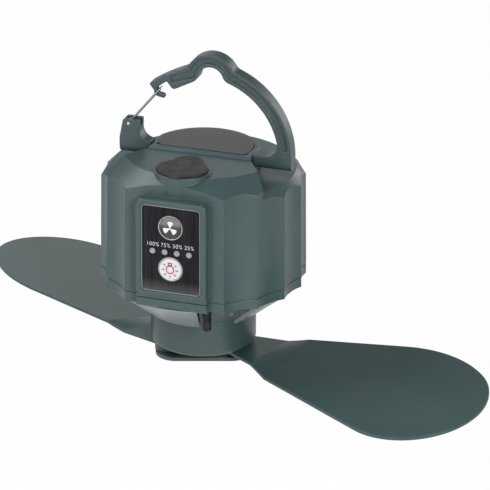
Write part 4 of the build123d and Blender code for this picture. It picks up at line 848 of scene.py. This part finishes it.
class FAN_OT_studio(bpy.types.Operator):
    """Set up the floor, the soft lights and the camera"""

    bl_idname = "fan.studio"
    bl_label = "Studio"

    azimuth = 19.0
    elevation = 22.0
    axis_point = (-5.0 * MM, 0.0, -46.0 * MM)
    optical_pixel = (203.6, 190.0)
    axis_pixel_y = 147.2
    pixels_per_metre = 1923.0
    sensor_width = 36.0
    far_clip = 50.0
    aim_drop = 60.0 * MM
    floor_half = 30.0
    floor_white = 0.975
    floor_mirror = 0.25
    sky_fill = 0.17
    sky_mirror = 0.12
    # Each light has its place and the side of its square in metres, and its power in watts
    lights = {
        "key": ((-1.3, -0.2, 1.2), 0.9, 23.0),
        "side": ((1.3, -1.4, 0.75), 0.5, 33.0),
        "back": ((-0.7, 2.0, 0.25), 0.9, 1.9),
        "front": ((-0.6, -1.8, 0.2), 1.0, 9.0),
        "rear": ((0.75, 1.95, 0.1), 0.9, 7.0),
    }

    def floor(self, tint, drop):
        """A pale floor that the camera sees as white, with the fan's shadow on it, and open from below."""
        shape = bmesh.new()
        bmesh.ops.create_grid(shape, x_segments=1, y_segments=1, size=self.floor_half)
        bmesh.ops.translate(shape, verts=shape.verts[:], vec=(0.0, 0.0, CAD_BOX[0][2] - drop))
        mesh = bpy.data.meshes.new("floor")
        shape.to_mesh(mesh)
        shape.free()
        floor = bpy.data.objects.new("floor", mesh)
        bpy.context.scene.collection.objects.link(floor)
        finish = Finish("floor_paper")
        fibres = finish.noise(60.0, detail=4.0, roughness=0.6)
        finish.set(Base_Color=finish.blend(fibres.over(0.3, 0.7), darker(tint, 0.02), tint), Roughness=0.9)
        glow = finish.add("ShaderNodeEmission", sockets={"Color": WHITE, "Strength": 1.0})
        share = finish.seen_rays(self.floor_mirror) * self.floor_white
        paper = finish.add("ShaderNodeMixShader",
                           sockets={0: share, 1: finish.shader.outputs[0], 2: glow.outputs[0]})
        under = finish.add("ShaderNodeNewGeometry").outputs["Backfacing"]
        clear = finish.add("ShaderNodeBsdfTransparent")
        one_way = finish.add("ShaderNodeMixShader",
                             sockets={0: under, 1: paper.outputs[0], 2: clear.outputs[0]})
        finish.plug(finish.output.inputs["Surface"], one_way.outputs[0])
        mesh.materials.append(finish.material)

    def sky(self):
        """A white background for seen rays and a soft fill for the rest."""
        world = bpy.data.worlds.new("studio")
        bpy.context.scene.world = world
        world.use_nodes = True
        nodes = Nodes(world.node_tree)
        seen = nodes.seen_rays(self.sky_mirror)
        strength = seen + (1.0 - seen) * self.sky_fill
        back = nodes.add("ShaderNodeBackground", sockets={"Color": WHITE, "Strength": strength})
        nodes.add("ShaderNodeOutputWorld", sockets={"Surface": back.outputs[0]})

    def lamp(self, name, where, size, power):
        """A square soft light aimed at the fan's body."""
        data = bpy.data.lights.new(name, "AREA")
        data.size = size
        data.energy = power
        lamp = bpy.data.objects.new(name, data)
        lamp.location = where
        target = Vector(self.axis_point) - Vector((0.0, 0.0, self.aim_drop))
        lamp.rotation_euler = (target - Vector(where)).to_track_quat("-Z", "Y").to_euler()
        bpy.context.scene.collection.objects.link(lamp)

    def camera(self, distance):
        """The camera at the photograph's angle, with the shift that its framing needs."""
        turn = math.radians(self.azimuth)
        lift = math.radians(self.elevation)
        back = Vector((math.sin(turn) * math.cos(lift), -math.cos(turn) * math.cos(lift), math.sin(lift)))
        right = Vector((math.cos(turn), math.sin(turn), 0.0))
        up = back.cross(right)
        drop = (self.optical_pixel[1] - self.axis_pixel_y) / self.pixels_per_metre
        data = bpy.data.cameras.new("camera")
        data.sensor_width = self.sensor_width
        data.lens = data.sensor_width * self.pixels_per_metre * distance / PICTURE_PIXELS
        data.shift_x = 0.5 - self.optical_pixel[0] / PICTURE_PIXELS
        data.shift_y = self.optical_pixel[1] / PICTURE_PIXELS - 0.5
        data.clip_end = self.far_clip
        camera = bpy.data.objects.new("camera", data)
        camera.matrix_world = Matrix((right, up, back)).transposed().to_4x4()
        camera.location = Vector(self.axis_point) + distance * back - drop * up
        bpy.context.scene.collection.objects.link(camera)
        bpy.context.scene.camera = camera

    def execute(self, context):
        tints, sizes = chosen(context)
        context.scene.view_settings.view_transform = "Standard"
        self.floor(tints.floor, sizes.floor_drop)
        self.sky()
        for name, (where, size, power) in self.lights.items():
            self.lamp(name, where, size, power)
        self.camera(sizes.camera_distance)
        return {"FINISHED"}


OPERATORS = (FAN_OT_shells, FAN_OT_handle, FAN_OT_blades, FAN_OT_lamp, FAN_OT_panel, FAN_OT_buttons,
             FAN_OT_port, FAN_OT_inside, FAN_OT_studio)


class FAN_PT_sidebar(bpy.types.Panel):
    """The fan's colours, sizes and steps"""

    bl_idname = "FAN_PT_sidebar"
    bl_label = "Hanging fan"
    bl_space_type = "VIEW_3D"
    bl_region_type = "UI"
    bl_category = "Fan"

    def draw(self, context):
        for group in chosen(context):
            column = self.layout.column(align=True)
            for name in group.__annotations__:
                column.prop(group, name)
        for operator in OPERATORS:
            self.layout.operator(operator.bl_idname)


CLASSES = (FanColours, FanSizes, *OPERATORS, FAN_PT_sidebar)


def register():
    """Adds the classes and the scene's settings."""
    for item in CLASSES:
        bpy.utils.register_class(item)
    bpy.types.Scene.fan_colours = PointerProperty(type=FanColours)
    bpy.types.Scene.fan_sizes = PointerProperty(type=FanSizes)


def unregister():
    """Takes the settings and classes out again."""
    del bpy.types.Scene.fan_sizes
    del bpy.types.Scene.fan_colours
    for item in reversed(CLASSES):
        bpy.utils.unregister_class(item)


def main():
    """Runs every step in order."""
    register()
    bpy.ops.fan.shells()
    bpy.ops.fan.handle()
    bpy.ops.fan.blades()
    bpy.ops.fan.lamp()
    bpy.ops.fan.panel()
    bpy.ops.fan.buttons()
    bpy.ops.fan.port()
    bpy.ops.fan.inside()
    bpy.ops.fan.studio()


if __name__ == "__main__":
    main()
